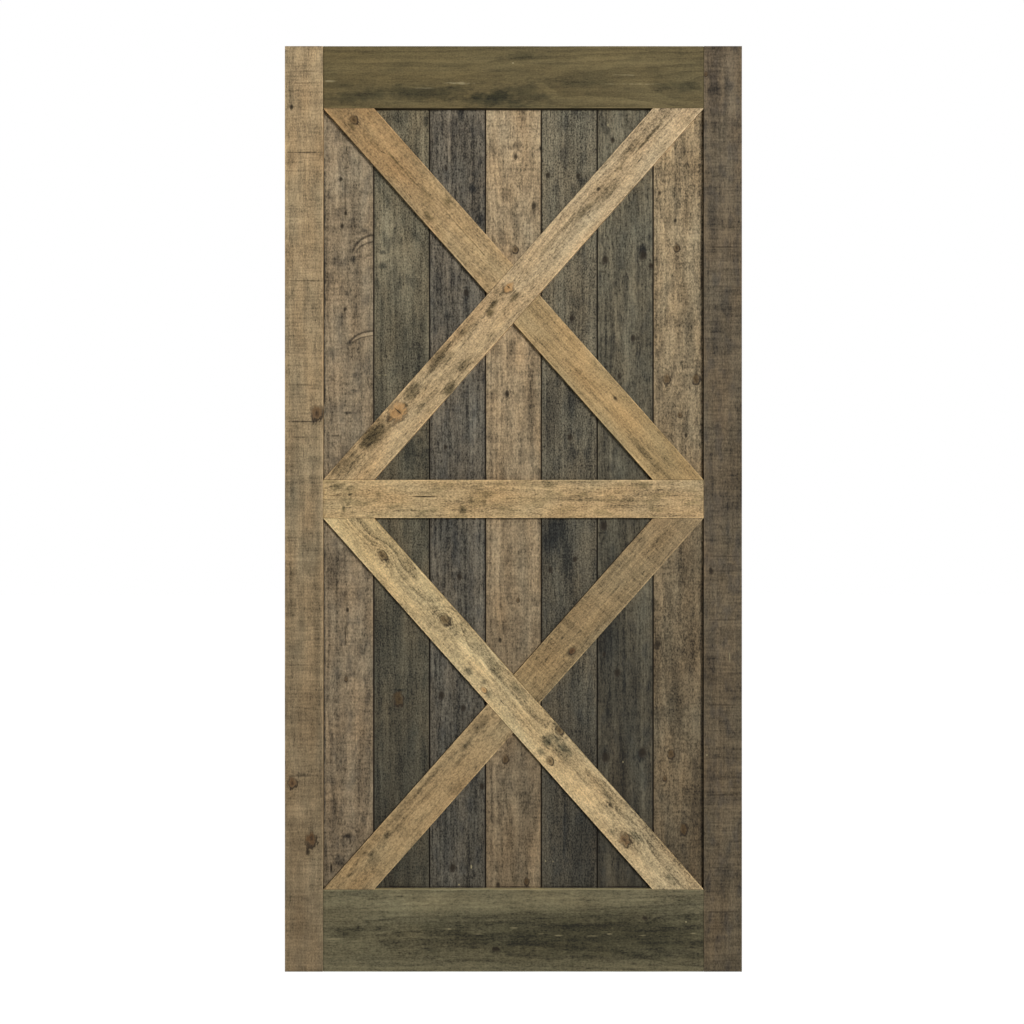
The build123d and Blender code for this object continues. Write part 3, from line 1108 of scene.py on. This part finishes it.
# %% [markdown]
# ## Spots, knots and crescents
#
# A spot is a patch at one place on a board, by its centre and its size: crisp for a split or a saw
# line, soft for a smudge or a scuff. A knot is a spot with a core, a dark rim that is strongest on one
# side, a tail where its resin ran along the grain, and a swirl that bends the rings around it. A
# crescent is the curved crack where the wood has lifted round a branch, with a pale wedge inside. The
# raggedness comes in from the weather group, so that a board with thirty spots has one noise, not
# thirty.

# %% Spots
spot_inputs = {"Place": "Vector", "Centre": "Vector", "Size": "Vector", "Ragged": "Float"}
mask_range = (1.0, 0.25)
soft_range = (1.25, 0.05)


def from_centre(wires, given):
    """The way from a mark's centre to a point, in the mark's own sizes."""
    offset = wires.vector("SUBTRACT", given["Place"], given["Centre"])
    return wires.vector("DIVIDE", offset, given["Size"])


def make_spot():
    tree, wires, given, out = effect("Spot", spot_inputs, ["Mask", "Soft", "Distance"])
    far = wires.vector("LENGTH", from_centre(wires, given), result="Value")
    far = wires.plus(far, given["Ragged"])
    wires.feed(out["Distance"], far)
    wires.feed(out["Mask"], wires.step(far, *mask_range))
    wires.feed(out["Soft"], wires.step(far, *soft_range))
    return tree


spot_group = make_spot()
print(spot_group.name, "group made")

# %% Knots
core_range = (1.2, 0.5)
rim_start = (0.6, 0.95)
rim_end = (1.35, 1.0)
rim_side = (0.45, 0.0, -0.9)
rim_turn = (-0.6, 0.6)
rim_least_share = 0.4
heart_range = (0.5, 0.05)
heart_share = 0.7
tail_stretch = (0.85, 1.0, 3.4)
swirl_reach = 2.4
swirl_fall = 0.32


def passed_on(given):
    """A group's own inputs, as the values of a spot inside it."""
    return {name.lower(): given[name] for name in spot_inputs}


def make_knot():
    tree, wires, given, out = effect("Knot", spot_inputs, ["Core", "Rim", "Tail", "Swirl"])
    far = wires.group(spot_group, **passed_on(given))["Distance"]
    wires.feed(out["Core"], wires.step(far, *core_range))
    outer = wires.times(wires.step(far, *rim_start), wires.step(far, *rim_end))
    turned = wires.vector("DOT_PRODUCT", from_centre(wires, given), rim_side, result="Value")
    one_sided = wires.weigh(rim_least_share, (wires.step(turned, *rim_turn), 1 - rim_least_share))
    heart = wires.times(wires.step(far, *heart_range), heart_share)
    wires.feed(out["Rim"], wires.math("MAXIMUM", wires.times(outer, one_sided), heart))
    longer = passed_on(given) | {"size": wires.vector("MULTIPLY", given["Size"], tail_stretch)}
    wires.feed(out["Tail"], wires.group(spot_group, **longer)["Soft"])
    bend = wires.math("POWER", 2.0, wires.times(wires.times(far, far), -swirl_fall))
    push = wires.times(wires.parts(given["Size"])[0], swirl_reach)
    wires.feed(out["Swirl"], wires.times(bend, push))
    return tree


knot_group = make_knot()
print(knot_group.name, "group made")

# %% Crescents
crescent_start = (0.1, 0.4)
inner_slope = -0.38
curve_start = (0.93, 0.98)
curve_end = (1.1, 1.02)
wedge_end = (1.0, 0.97)
hem_range = (0.09, 0.0)
hem_share = 0.9


def make_crescent():
    tree, wires, given, out = effect("Crescent", spot_inputs, ["Line", "Wedge"])
    far = wires.group(spot_group, **passed_on(given))["Distance"]
    across, _, reach = wires.parts(from_centre(wires, given))
    part = wires.times(wires.math("LESS_THAN", across, 0.0), wires.step(reach, *crescent_start))
    inner = wires.weigh(1.0, (reach, inner_slope))
    curve = wires.times(wires.step(far, *curve_start), wires.step(far, *curve_end))
    hem = wires.step(wires.math("ABSOLUTE", wires.less(far, inner)), *hem_range)
    lines = wires.math("MAXIMUM", curve, wires.times(hem, hem_share))
    wedge = wires.times(wires.math("GREATER_THAN", far, inner), wires.step(far, *wedge_end))
    wires.feed(out["Line"], wires.times(lines, part))
    wires.feed(out["Wedge"], wires.times(wedge, part))
    return tree


crescent_group = make_crescent()
print(crescent_group.name, "group made")

# %% [markdown]
# ## Edges
#
# Hands and weather take the stain off the arrises first, so they show paler wood, broken up by noise. A
# second mask covers the sides of the planks, where dirt and old stain have gathered in the joints. Two
# more cover a face board's left and right sides behind the arris. They carry painted light and painted
# shade: a side is made lighter where light falls on it and darker where it lies in shade.

# %% Edges
worn_size = (12 * MM, 12 * MM, 70 * MM)
worn_range = (0.32, 0.62)
pale_side = (3.4 * MM, 1.0 * MM)
pale_front = (4.0 * MM, 1.5 * MM)
seam_side = (1.9 * MM, 0.7 * MM)
painted_light_side = (1.6 * MM, 0.8 * MM)
painted_light_front = (1.2 * MM, 2.4 * MM)


def make_edges():
    tree, wires, given, out = effect(
        "Edges",
        {"Place": "Vector", "Grain": "Vector", "Half width": "Float", "Front": "Float"},
        ["Pale", "Seam", "Left", "Right"],
    )
    across, depth, _ = wires.parts(given["Place"])
    from_side = wires.less(given["Half width"], wires.math("ABSOLUTE", across))
    from_front = wires.less(depth, given["Front"])
    near = wires.times(wires.step(from_side, *pale_side), wires.step(from_front, *pale_front))
    worn = wires.step(wires.cloud(given["Grain"], worn_size), *worn_range)
    wires.feed(out["Pale"], wires.times(near, worn))
    wires.feed(out["Seam"], wires.step(from_side, *seam_side))
    # The left and right sides behind the arris, for painted light and painted shade
    side = wires.times(wires.step(from_side, *painted_light_side), wires.step(from_front, *painted_light_front))
    right = wires.times(side, wires.math("GREATER_THAN", across, 0.0))
    wires.feed(out["Right"], right)
    wires.feed(out["Left"], wires.less(side, right))
    return tree


edges = make_edges()
print(edges.name, "group made")

# %% [markdown]
# ## One finish per board
#
# No two boards came off the same heap. A finish gives the tone at the board's two ends, the grey that
# the weather left, how the board was cut from the tree, and how strongly each effect shows. Where a
# board was sawn off centre, its rings fade out towards one side, given in half-widths.

# %% Finishes
@dataclass
class Finish:
    slot: str
    lower: str
    upper: str
    grey: str
    pith: tuple = (20 * MM, 90 * MM)
    drift: float = 0.02
    ring_width: float = 7 * MM
    wander: float = 30 * MM
    rings: float = 0.3
    ring_fade: tuple = (-3.0, -2.0)
    fibre: float = 1.0
    ticks: float = 0.3
    saw: float = 0.45
    pores: float = 1.7
    cloud: float = 0.8
    mottle: float = 0.5
    hue: float = 0.22
    pale: float = 0.55
    seam: float = 0.0
    # Painted light above 0 and painted shade below 0, on the left and right sides behind the arris
    painted_light_left: float = -0.6
    painted_light_right: float = 1.2


def plank(slot, lower, upper, grey, seam=0.8, **rest):
    """The finish of a plank: dark joints, and arrises that little has rubbed."""
    joint = dict(pale=0.25, seam=seam, painted_light_left=0.0, painted_light_right=0.0)
    return Finish(slot, lower, upper, grey, **joint, **rest)


# A face board's last two numbers paint light on a side that light falls on and shade on a side in shade
finishes = {
    "left_stile": Finish(
        "warm_tan_wood", "#77674E", "#A58E6B", "#74654C", saw=0.8, rings=0.15, fibre=0.6, pores=1.3,
        ticks=0.2, cloud=0.5, painted_light_left=0.8, painted_light_right=0.8,
    ),
    "right_stile": Finish(
        "dark_brown_wood", "#584D3B", "#615543", "#3B3732", saw=1.05, rings=0.1, fibre=0.75, pores=1.4,
        pale=0.3, painted_light_left=-0.7, painted_light_right=0.8,
    ),
    "top_rail": Finish(
        "olive_wood", "#64583A", "#62573B", "#413E2A", rings=0.3, saw=0.15, pores=0.8, ticks=0.1,
        fibre=0.6, cloud=0.5, mottle=0.15, pale=0.4, hue=0.1, painted_light_left=0.5, painted_light_right=-0.75,
    ),
    "bottom_rail": Finish(
        "olive_wood", "#676048", "#665F48", "#46432F", rings=0.3, saw=0.3, pores=1.3, ticks=0.2,
        fibre=0.8, cloud=0.6, mottle=0.2, hue=0.1, painted_light_left=5.0, painted_light_right=-0.5,
    ),
    "middle_rail": Finish(
        "straw_wood", "#B0966C", "#A58C66", "#6E6141", rings=0.2, pores=1.7, cloud=0.6, fibre=0.7,
        painted_light_left=1.0, painted_light_right=-0.6,
    ),
    "upper_brace_full": Finish(
        "beige_wood", "#A98F68", "#B09A78", "#65573B", rings=0.35, pith=(50 * MM, 60 * MM), fibre=0.7,
        ring_width=12 * MM, wander=60 * MM, mottle=0.25, ring_fade=(1.2, -0.6),
    ),
    "upper_brace_half_left": Finish(
        "beige_wood", "#AC926A", "#9B7D55", "#665737", rings=0.2, fibre=0.6, mottle=0.2, saw=0.45,
        pores=1.4, cloud=0.55,
    ),
    "upper_brace_half_right": Finish(
        "beige_wood", "#998159", "#AA8F65", "#766443", rings=0.2, fibre=0.65, mottle=0.3, pores=1.4,
    ),
    "lower_brace_full": Finish(
        "straw_wood", "#AB9570", "#AE986E", "#686048", rings=0.6, mottle=0.25, fibre=0.6,
        pith=(30 * MM, 30 * MM), drift=0.012, ring_width=6.5 * MM, wander=40 * MM,
        ring_fade=(-0.7, 0.3), pores=1.8,
    ),
    "lower_brace_half_right": Finish(
        "brown_wood", "#8C7754", "#8B7656", "#5A4D36", rings=0.2, saw=0.75, fibre=0.7, mottle=0.2,
    ),
    "lower_brace_half_left": Finish(
        "brown_wood", "#967E59", "#9B835E", "#5A4D36", rings=0.2, pores=1.5, fibre=0.65, mottle=0.4,
    ),
    "plank_1": plank("grey_wood", "#6B5C47", "#7C6E57", "#5A5244", seam=0.3),
    "plank_2": plank(
        "grey_wood", "#7A6A53", "#8C7C63", "#4A443A", cloud=0.9, fibre=0.75, ticks=0.2, saw=0.7,
    ),
    "plank_3": plank("grey_wood", "#3B382E", "#746B55", "#33332B", cloud=1.1, pores=2.7),
    "plank_4": plank("slate_wood", "#4B473D", "#665E50", "#30302E", cloud=1.1, fibre=1.7, pores=2.3),
    "plank_5": plank(
        "warm_tan_wood", "#685A45", "#A48F6F", "#4E4435", cloud=0.65, fibre=0.75, ticks=0.2, saw=0.6,
    ),
    "plank_6": plank("slate_wood", "#37342C", "#6E6653", "#2F2F2B", cloud=1.0, fibre=1.5, pores=3.1),
    "plank_7": plank("slate_wood", "#343027", "#6E6754", "#2D2D29", cloud=1.0, fibre=1.3),
    "plank_8": plank(
        "warm_tan_wood", "#4B4131", "#998667", "#40392D", cloud=0.7, fibre=0.75, ticks=0.2, saw=0.65,
        pores=2.1,
    ),
    "plank_9": plank("dark_brown_wood", "#4E4537", "#6A5E4C", "#40392F", seam=0.3),
}
print(len(finishes), "finishes")

# %% Tones
toe_share = 0.04045
toe_slope = 12.92
lift_share = 0.055
light_power = 2.4


def linear(share):
    """A share of full brightness as it is written, turned into a share of light."""
    if share <= toe_share:
        return share / toe_slope
    return ((share + lift_share) / (1 + lift_share)) ** light_power


def tone(written):
    """A colour written as #RRGGBB, as the linear values that shaders use."""
    red, green, blue = (linear(int(written[n:n + 2], 16) / 255) for n in (1, 3, 5))
    return (red, green, blue, 1.0)


print("half grey gives", round(linear(0.5), 2), "of the light")

# %% [markdown]
# ## From marks to masks
#
# Every listed mark becomes a group in the board's material, and marks of one kind become one mask.
# Knots come in four kinds: sound and tan, brown, drab, and nearly black with a long tail. An eye is a
# knot whose heart has the tone of the wood, so only its rim shows.

# %% Masks of a board's marks
@dataclass
class KnotKind:
    lightest: float
    darkest: float
    tone: tuple
    core_share: float
    rim_share: float
    tail_share: float


knot_kinds = [
    KnotKind(0.0, 0.4, tone("#B58A57"), 0.75, 0.7, 0.0),
    KnotKind(0.4, 0.65, tone("#573A1E"), 0.7, 1.0, 0.15),
    KnotKind(0.65, 0.79, tone("#4A3518"), 0.62, 1.0, 0.25),
    KnotKind(0.79, 1.1, tone("#1E170D"), 0.85, 0.6, 0.35),
]
knot_dark = tone("#23180B")
split_and_shade_dark = tone("#1C1712")
# A knot runs right through its board, and other marks end a little way under the face
through = 1000.0
mark_depth = 12 * MM
frayed_size = 16 * MM
eye_rim_share = 0.5
knot_fray = 1.6
line_fray = 1.6
crack_fray = 0.9
fleck_fray = 3.0
shade_fray = 0.45
crescent_fray = 0.08
line_share = 0.8


def placed(wires, board, place, ragged, kind, tree, depth=mark_depth):
    """One group for every mark of a kind, and what each puts out. Small marks fray less."""
    face = board.back if kind == "stains" else board.front
    groups = []
    for mark in board.marks.get(kind, []):
        fray_share = min(1.0, math.sqrt(mark.width * mark.length) / frayed_size)
        groups.append(wires.group(
            tree, place=place["Place"], ragged=wires.times(ragged, fray_share),
            centre=(mark.across, face, mark.along), size=(mark.width, depth, mark.length),
        ))
    return groups


def spots(wires, board, place, ragged, kind, output):
    """The mask of all spots of a kind, each as strong as its mark says."""
    groups = placed(wires, board, place, ragged, kind, spot_group)
    amounts = [mark.amount for mark in board.marks.get(kind, [])]
    return wires.most([wires.times(group[output], amount) for group, amount in zip(groups, amounts)])


def knot_masks(wires, board, place, ragged):
    """Cores by kind of knot, and the rims, tails and swirls of all knots and eyes together."""
    knots = placed(wires, board, place, ragged, "knots", knot_group, through)
    eyes = placed(wires, board, place, ragged, "eyes", knot_group, through)
    rims = [wires.times(eye["Rim"], eye_rim_share) for eye in eyes]
    swirls = [group["Swirl"] for group in knots + eyes]
    cores, tails = [], []
    for kind in knot_kinds:
        alike = [
            knot for knot, mark in zip(knots, board.marks.get("knots", []))
            if kind.lightest <= mark.amount < kind.darkest
        ]
        cores.append((wires.most([knot["Core"] for knot in alike]), kind))
        rims += [wires.times(knot["Rim"], kind.rim_share) for knot in alike]
        tails += [wires.times(knot["Tail"], kind.tail_share) for knot in alike if kind.tail_share]
    swirl = wires.weigh(0.0, *[(socket, 1.0) for socket in swirls])
    return {"cores": cores, "rim": wires.most(rims), "tail": wires.most(tails), "swirl": swirl}


def mark_masks(wires, board, place, sky):
    """Every listed mark of a board, as masks for its colour and bump."""
    ragged, smoke = sky["Ragged"], sky["Smoke"]

    def mask(kind, fray, output):
        return spots(wires, board, place, fray, kind, output)

    hair = wires.times(ragged, crescent_fray)
    crescents = placed(wires, board, place, hair, "crescents", crescent_group)
    curves = wires.most([crescent["Line"] for crescent in crescents])
    # Saw lines, with the line of painted shade above the bottom rail
    lines = mask("saw_and_shade_lines", wires.times(ragged, line_fray), "Mask")
    cracks = mask("cracks", wires.times(ragged, crack_fray), "Mask")
    # Smudges, with the long thin lines of painted shade beside the stiles
    smudges_and_painted_shade = [
        mask("smudges_and_painted_shade", smoke, "Soft"), mask("stains", smoke, "Soft"),
        mask("shades", wires.times(smoke, shade_fray), "Soft"),
    ]
    return knot_masks(wires, board, place, wires.times(ragged, knot_fray)) | {
        "smudge_and_painted_shade": wires.most(smudges_and_painted_shade),
        "scuff": mask("scuffs", smoke, "Soft"),
        "splits_and_shade_lines": wires.most([cracks, wires.times(lines, line_share), wires.times(curves, line_share)]),
        "fleck": mask("flecks", wires.times(ragged, fleck_fray), "Mask"),
        "wedge": wires.most([crescent["Wedge"] for crescent in crescents]),
    }


print("marks become masks for", len(knot_kinds), "kinds of knot and the rest")

# %% [markdown]
# ## Putting the wood together
#
# The material starts from the board's two end tones, lets the weather push them about and greys the
# mottled patches. One value then scales that colour: rings, streaks, speckle, saw marks, the soft
# marks and the painted light and painted shade on a face board's sides each add to it or take from it.
# Last come the joints, knots and splits with tones of their own.
# The same masks drive the bump, so a dark split is also a groove.

# %% Colour and rings of a board
drift_share = 0.6
grey_share = 0.75


def base_colour(wires, board, finish, place, sky, smudge_and_painted_shade):
    """The two end tones, blended along the board, greyed and turned a little warm or cool."""
    start, stop = board.span()
    along = wires.parts(place["Place"])[2]
    height = wires.math("DIVIDE", wires.less(along, start), stop - start)
    drifted = wires.math("MULTIPLY_ADD", sky["Cloud"], drift_share, height, clamp=True)
    colour = wires.tint(drifted, tone(finish.lower), tone(finish.upper))
    mottle = wires.times(sky["Mottle"], finish.mottle)
    greyed = wires.math("MAXIMUM", mottle, wires.times(smudge_and_painted_shade, grey_share))
    colour = wires.tint(greyed, colour, tone(finish.grey))
    warm = wires.weigh(1.0, (sky["Hue"], finish.hue))
    cool = wires.weigh(1.0, (sky["Hue"], -finish.hue))
    return wires.vector("MULTIPLY", colour, wires.joined(warm, 1.0, cool))


def latewood(wires, board, finish, place, swirl):
    """The rings of this board, faded to the side that the saw left plain."""
    late = wires.group(
        growth_rings, place=place["Place"], grain=place["Grain"], pith_across=finish.pith[0],
        pith_depth=finish.pith[1], drift=finish.drift, ring_width=finish.ring_width,
        wander=finish.wander, swirl=swirl,
    )["Latewood"]
    low, high = (limit * board.half_width for limit in finish.ring_fade)
    return wires.times(late, wires.step(wires.parts(place["Place"])[0], low, high))


print("tones drift by", drift_share, "of a cloud along a board")

# %% Wood material
halo_loss = 0.9
smudge_and_shade_loss = 0.36
scuff_gain = 0.38
wedge_gain = 0.32
ring_balance_share = 0.3
least_tone_share = 0.2
rim_tint_share = 0.9
split_tint_share = 0.9
fleck_share = 0.8
fleck_pale = tone("#B3A57E")
wood_specular = 0.2
wood_roughness = 0.8
streak_roughness = 0.15
rim_gloss = 0.15
streak_rise = 0.5 * MM
saw_rise = 0.9 * MM
split_fall = 1.2 * MM
wood_bump = 0.8


def new_material(name):
    """A material, with its node writer and its shader."""
    material = bpy.data.materials.new(name)
    material.use_nodes = True
    return material, Wires(material.node_tree), material.node_tree.nodes["Principled BSDF"]


def raise_surface(wires, shader, height, strength):
    """Bump from a height in metres."""
    bump = wires.node("ShaderNodeBump")
    bump.inputs["Distance"].default_value = 1.0
    bump.inputs["Strength"].default_value = strength
    wires.feed(bump.inputs["Height"], height)
    wires.feed(shader.inputs["Normal"], bump.outputs["Normal"])


def wood(board, finish):
    """The weathered wood of one board."""
    material, wires, shader = new_material(board.node + "_wood")
    place = wires.group(
        board_space, centre=board.centre, across=board.across, along=board.along, seed=board.seed,
    )
    grain = place["Grain"]
    sky = wires.group(weather, grain=grain)
    masks = mark_masks(wires, board, place, sky)
    streaks = wires.group(fibre, grain=grain)
    saw = wires.group(saw_marks, grain=grain)["Mark"]
    edge = wires.group(
        edges, place=place["Place"], grain=grain, half_width=board.half_width, front=board.front,
    )

    colour = base_colour(wires, board, finish, place, sky, masks["smudge_and_painted_shade"])
    change = wires.weigh(
        1.0 + finish.rings * ring_balance_share,
        (latewood(wires, board, finish, place, masks["swirl"]), -finish.rings),
        (streaks["Streak"], finish.fibre),
        (streaks["Pore"], finish.pores),
        (streaks["Tick"], -finish.ticks),
        (saw, finish.saw),
        (sky["Cloud"], finish.cloud),
        (masks["tail"], -halo_loss),
        # Smudges darken, some of them as painted shade beside the stiles
        (masks["smudge_and_painted_shade"], -smudge_and_shade_loss),
        (masks["scuff"], scuff_gain),
        (masks["wedge"], wedge_gain),
        (edge["Pale"], finish.pale),
        # Painted light and painted shade on a face board's sides behind the arris
        (edge["Left"], finish.painted_light_left),
        (edge["Right"], finish.painted_light_right),
    )
    colour = wires.scaled(colour, wires.math("MAXIMUM", change, least_tone_share))
    layers = [
        (edge["Seam"], finish.seam, split_and_shade_dark),
        *[(core, kind.core_share, kind.tone) for core, kind in masks["cores"]],
        (masks["rim"], rim_tint_share, knot_dark),
        (masks["fleck"], fleck_share, fleck_pale),
        # Splits and saw lines, with the painted shade line above the bottom rail
        (masks["splits_and_shade_lines"], split_tint_share, split_and_shade_dark),
    ]
    for mask, share, layer_tone in layers:
        colour = wires.tint(wires.times(mask, share), colour, layer_tone)
    rough = wires.weigh(
        wood_roughness, (streaks["Streak"], streak_roughness), (masks["rim"], -rim_gloss),
    )
    rise = wires.weigh(
        0.0,
        (streaks["Streak"], streak_rise),
        (saw, saw_rise * finish.saw),
        (masks["splits_and_shade_lines"], -split_fall),
    )
    shader.inputs["Specular IOR Level"].default_value = wood_specular
    wires.feed(shader.inputs["Base Color"], colour)
    wires.feed(shader.inputs["Roughness"], rough)
    raise_surface(wires, shader, rise, wood_bump)
    return material


for node, piece in pieces.items():
    piece.data.materials.append(wood(boards[node], finishes[node]))
node_count = sum(len(m.node_tree.nodes) for m in bpy.data.materials if m.node_tree)
print("wood on", len(pieces), "boards,", node_count, "nodes")

# %% [markdown]
# ## Old iron
#
# The nails are black with scale, and brown where rust has started. The weather group's mottle says
# where the rust is: there the surface is brown and dull, and elsewhere it is dark and still metal.

# %% Iron material
iron_black = tone("#3A3835")
rust_brown = tone("#5B3A26")
pore_rust = 1.2
clean_metal = 0.9
rust_metal_loss = 0.8
clean_roughness = 0.45
rust_roughness = 0.4
pit_rise = 0.2 * MM
iron_bump = 1.0


def iron():
    """Black iron, brown and dull where it rusts."""
    material, wires, shader = new_material("old_iron")
    point = wires.node("ShaderNodeTexCoord").outputs["Object"]
    sky = wires.group(weather, grain=point)
    fine = wires.group(fibre, grain=point)["Pore"]
    rust = wires.math("MULTIPLY_ADD", fine, pore_rust, sky["Mottle"], clamp=True)
    wires.feed(shader.inputs["Base Color"], wires.tint(rust, iron_black, rust_brown))
    wires.feed(shader.inputs["Metallic"], wires.weigh(clean_metal, (rust, -rust_metal_loss)))
    wires.feed(shader.inputs["Roughness"], wires.weigh(clean_roughness, (rust, rust_roughness)))
    raise_surface(wires, shader, wires.times(fine, pit_rise), iron_bump)
    return material


nails.data.materials.append(iron())
print("iron on the nails")

# %% [markdown]
# ## The stage
#
# A pale floor just under the leaf and a white world behind it. One large soft lamp stands high on the
# right, in front of the leaf, so the boards throw short shadows down to the left. Two weaker ones light
# the back and the two edges for anyone who walks round, and the world fills the rest. The camera sees
# the floor and the world as white, and the floor still takes the shadow.

# %% Floor
floor_gap = 12 * MM
floor_size = 30.0
floor_tone = (0.8, 0.8, 0.79, 1)
floor_roughness = 0.9
white_share = 0.9
white_level = 1.1


def seen_directly(wires):
    """1 for what the camera sees, straight or in a shiny or clear surface."""
    path = wires.node("ShaderNodeLightPath").outputs
    shiny = wires.math("MAXIMUM", path["Is Glossy Ray"], path["Is Transmission Ray"])
    return wires.math("MAXIMUM", path["Is Camera Ray"], shiny)


floor = shown("floor", bpy.data.meshes.new("floor"))
reach = floor_size / 2
floor.data.from_pydata(
    [(-reach, -reach, 0), (reach, -reach, 0), (reach, reach, 0), (-reach, reach, 0)], [], [(0, 1, 2, 3)]
)
floor.location.z = cad_low.z - floor_gap

paint, wires, matt = new_material("pale_floor")
matt.inputs["Base Color"].default_value = floor_tone
matt.inputs["Roughness"].default_value = floor_roughness
glow = wires.node("ShaderNodeEmission")
glow.inputs["Strength"].default_value = white_level
whitened = wires.times(seen_directly(wires), white_share)
both = wires.node("ShaderNodeMixShader", whitened, matt.outputs[0], glow.outputs[0])
wires.feed(paint.node_tree.nodes["Material Output"].inputs["Surface"], both.outputs[0])
floor.data.materials.append(paint)
print("floor", round(floor_gap / MM), "mm under the leaf")

# %% World
fill_strength = 0.13
white = (1, 1, 1, 1)

world = bpy.data.worlds.new("studio")
world.use_nodes = True
bpy.context.scene.world = world
wires = Wires(world.node_tree)
backdrop = world.node_tree.nodes["Background"]
backdrop.inputs["Color"].default_value = white
strength = wires.weigh(fill_strength, (seen_directly(wires), 1 - fill_strength))
wires.feed(backdrop.inputs["Strength"], strength)
print("the world fills with", fill_strength, "of white")

# %% Lamps
lamp_size = 1.3
middle = (cad_low + cad_high) / 2
lamps = {
    "front_lamp": (250, Vector((1.5, -5.6, 1.2))),
    "back_left_lamp": (90, Vector((-4.2, 3.0, 1.2))),
    "back_right_lamp": (90, Vector((4.2, 3.0, 1.2))),
}
for name, (watts, offset) in lamps.items():
    lamp = shown(name, bpy.data.lights.new(name, "AREA"))
    lamp.data.shape = "DISK"
    lamp.data.size = lamp_size
    lamp.data.energy = watts
    lamp.location = middle + offset
    lamp.rotation_euler = (-offset).to_track_quat("-Z", "Y").to_euler()
bpy.context.scene.view_settings.view_transform = "Standard"
print(len(lamps), "lamps")
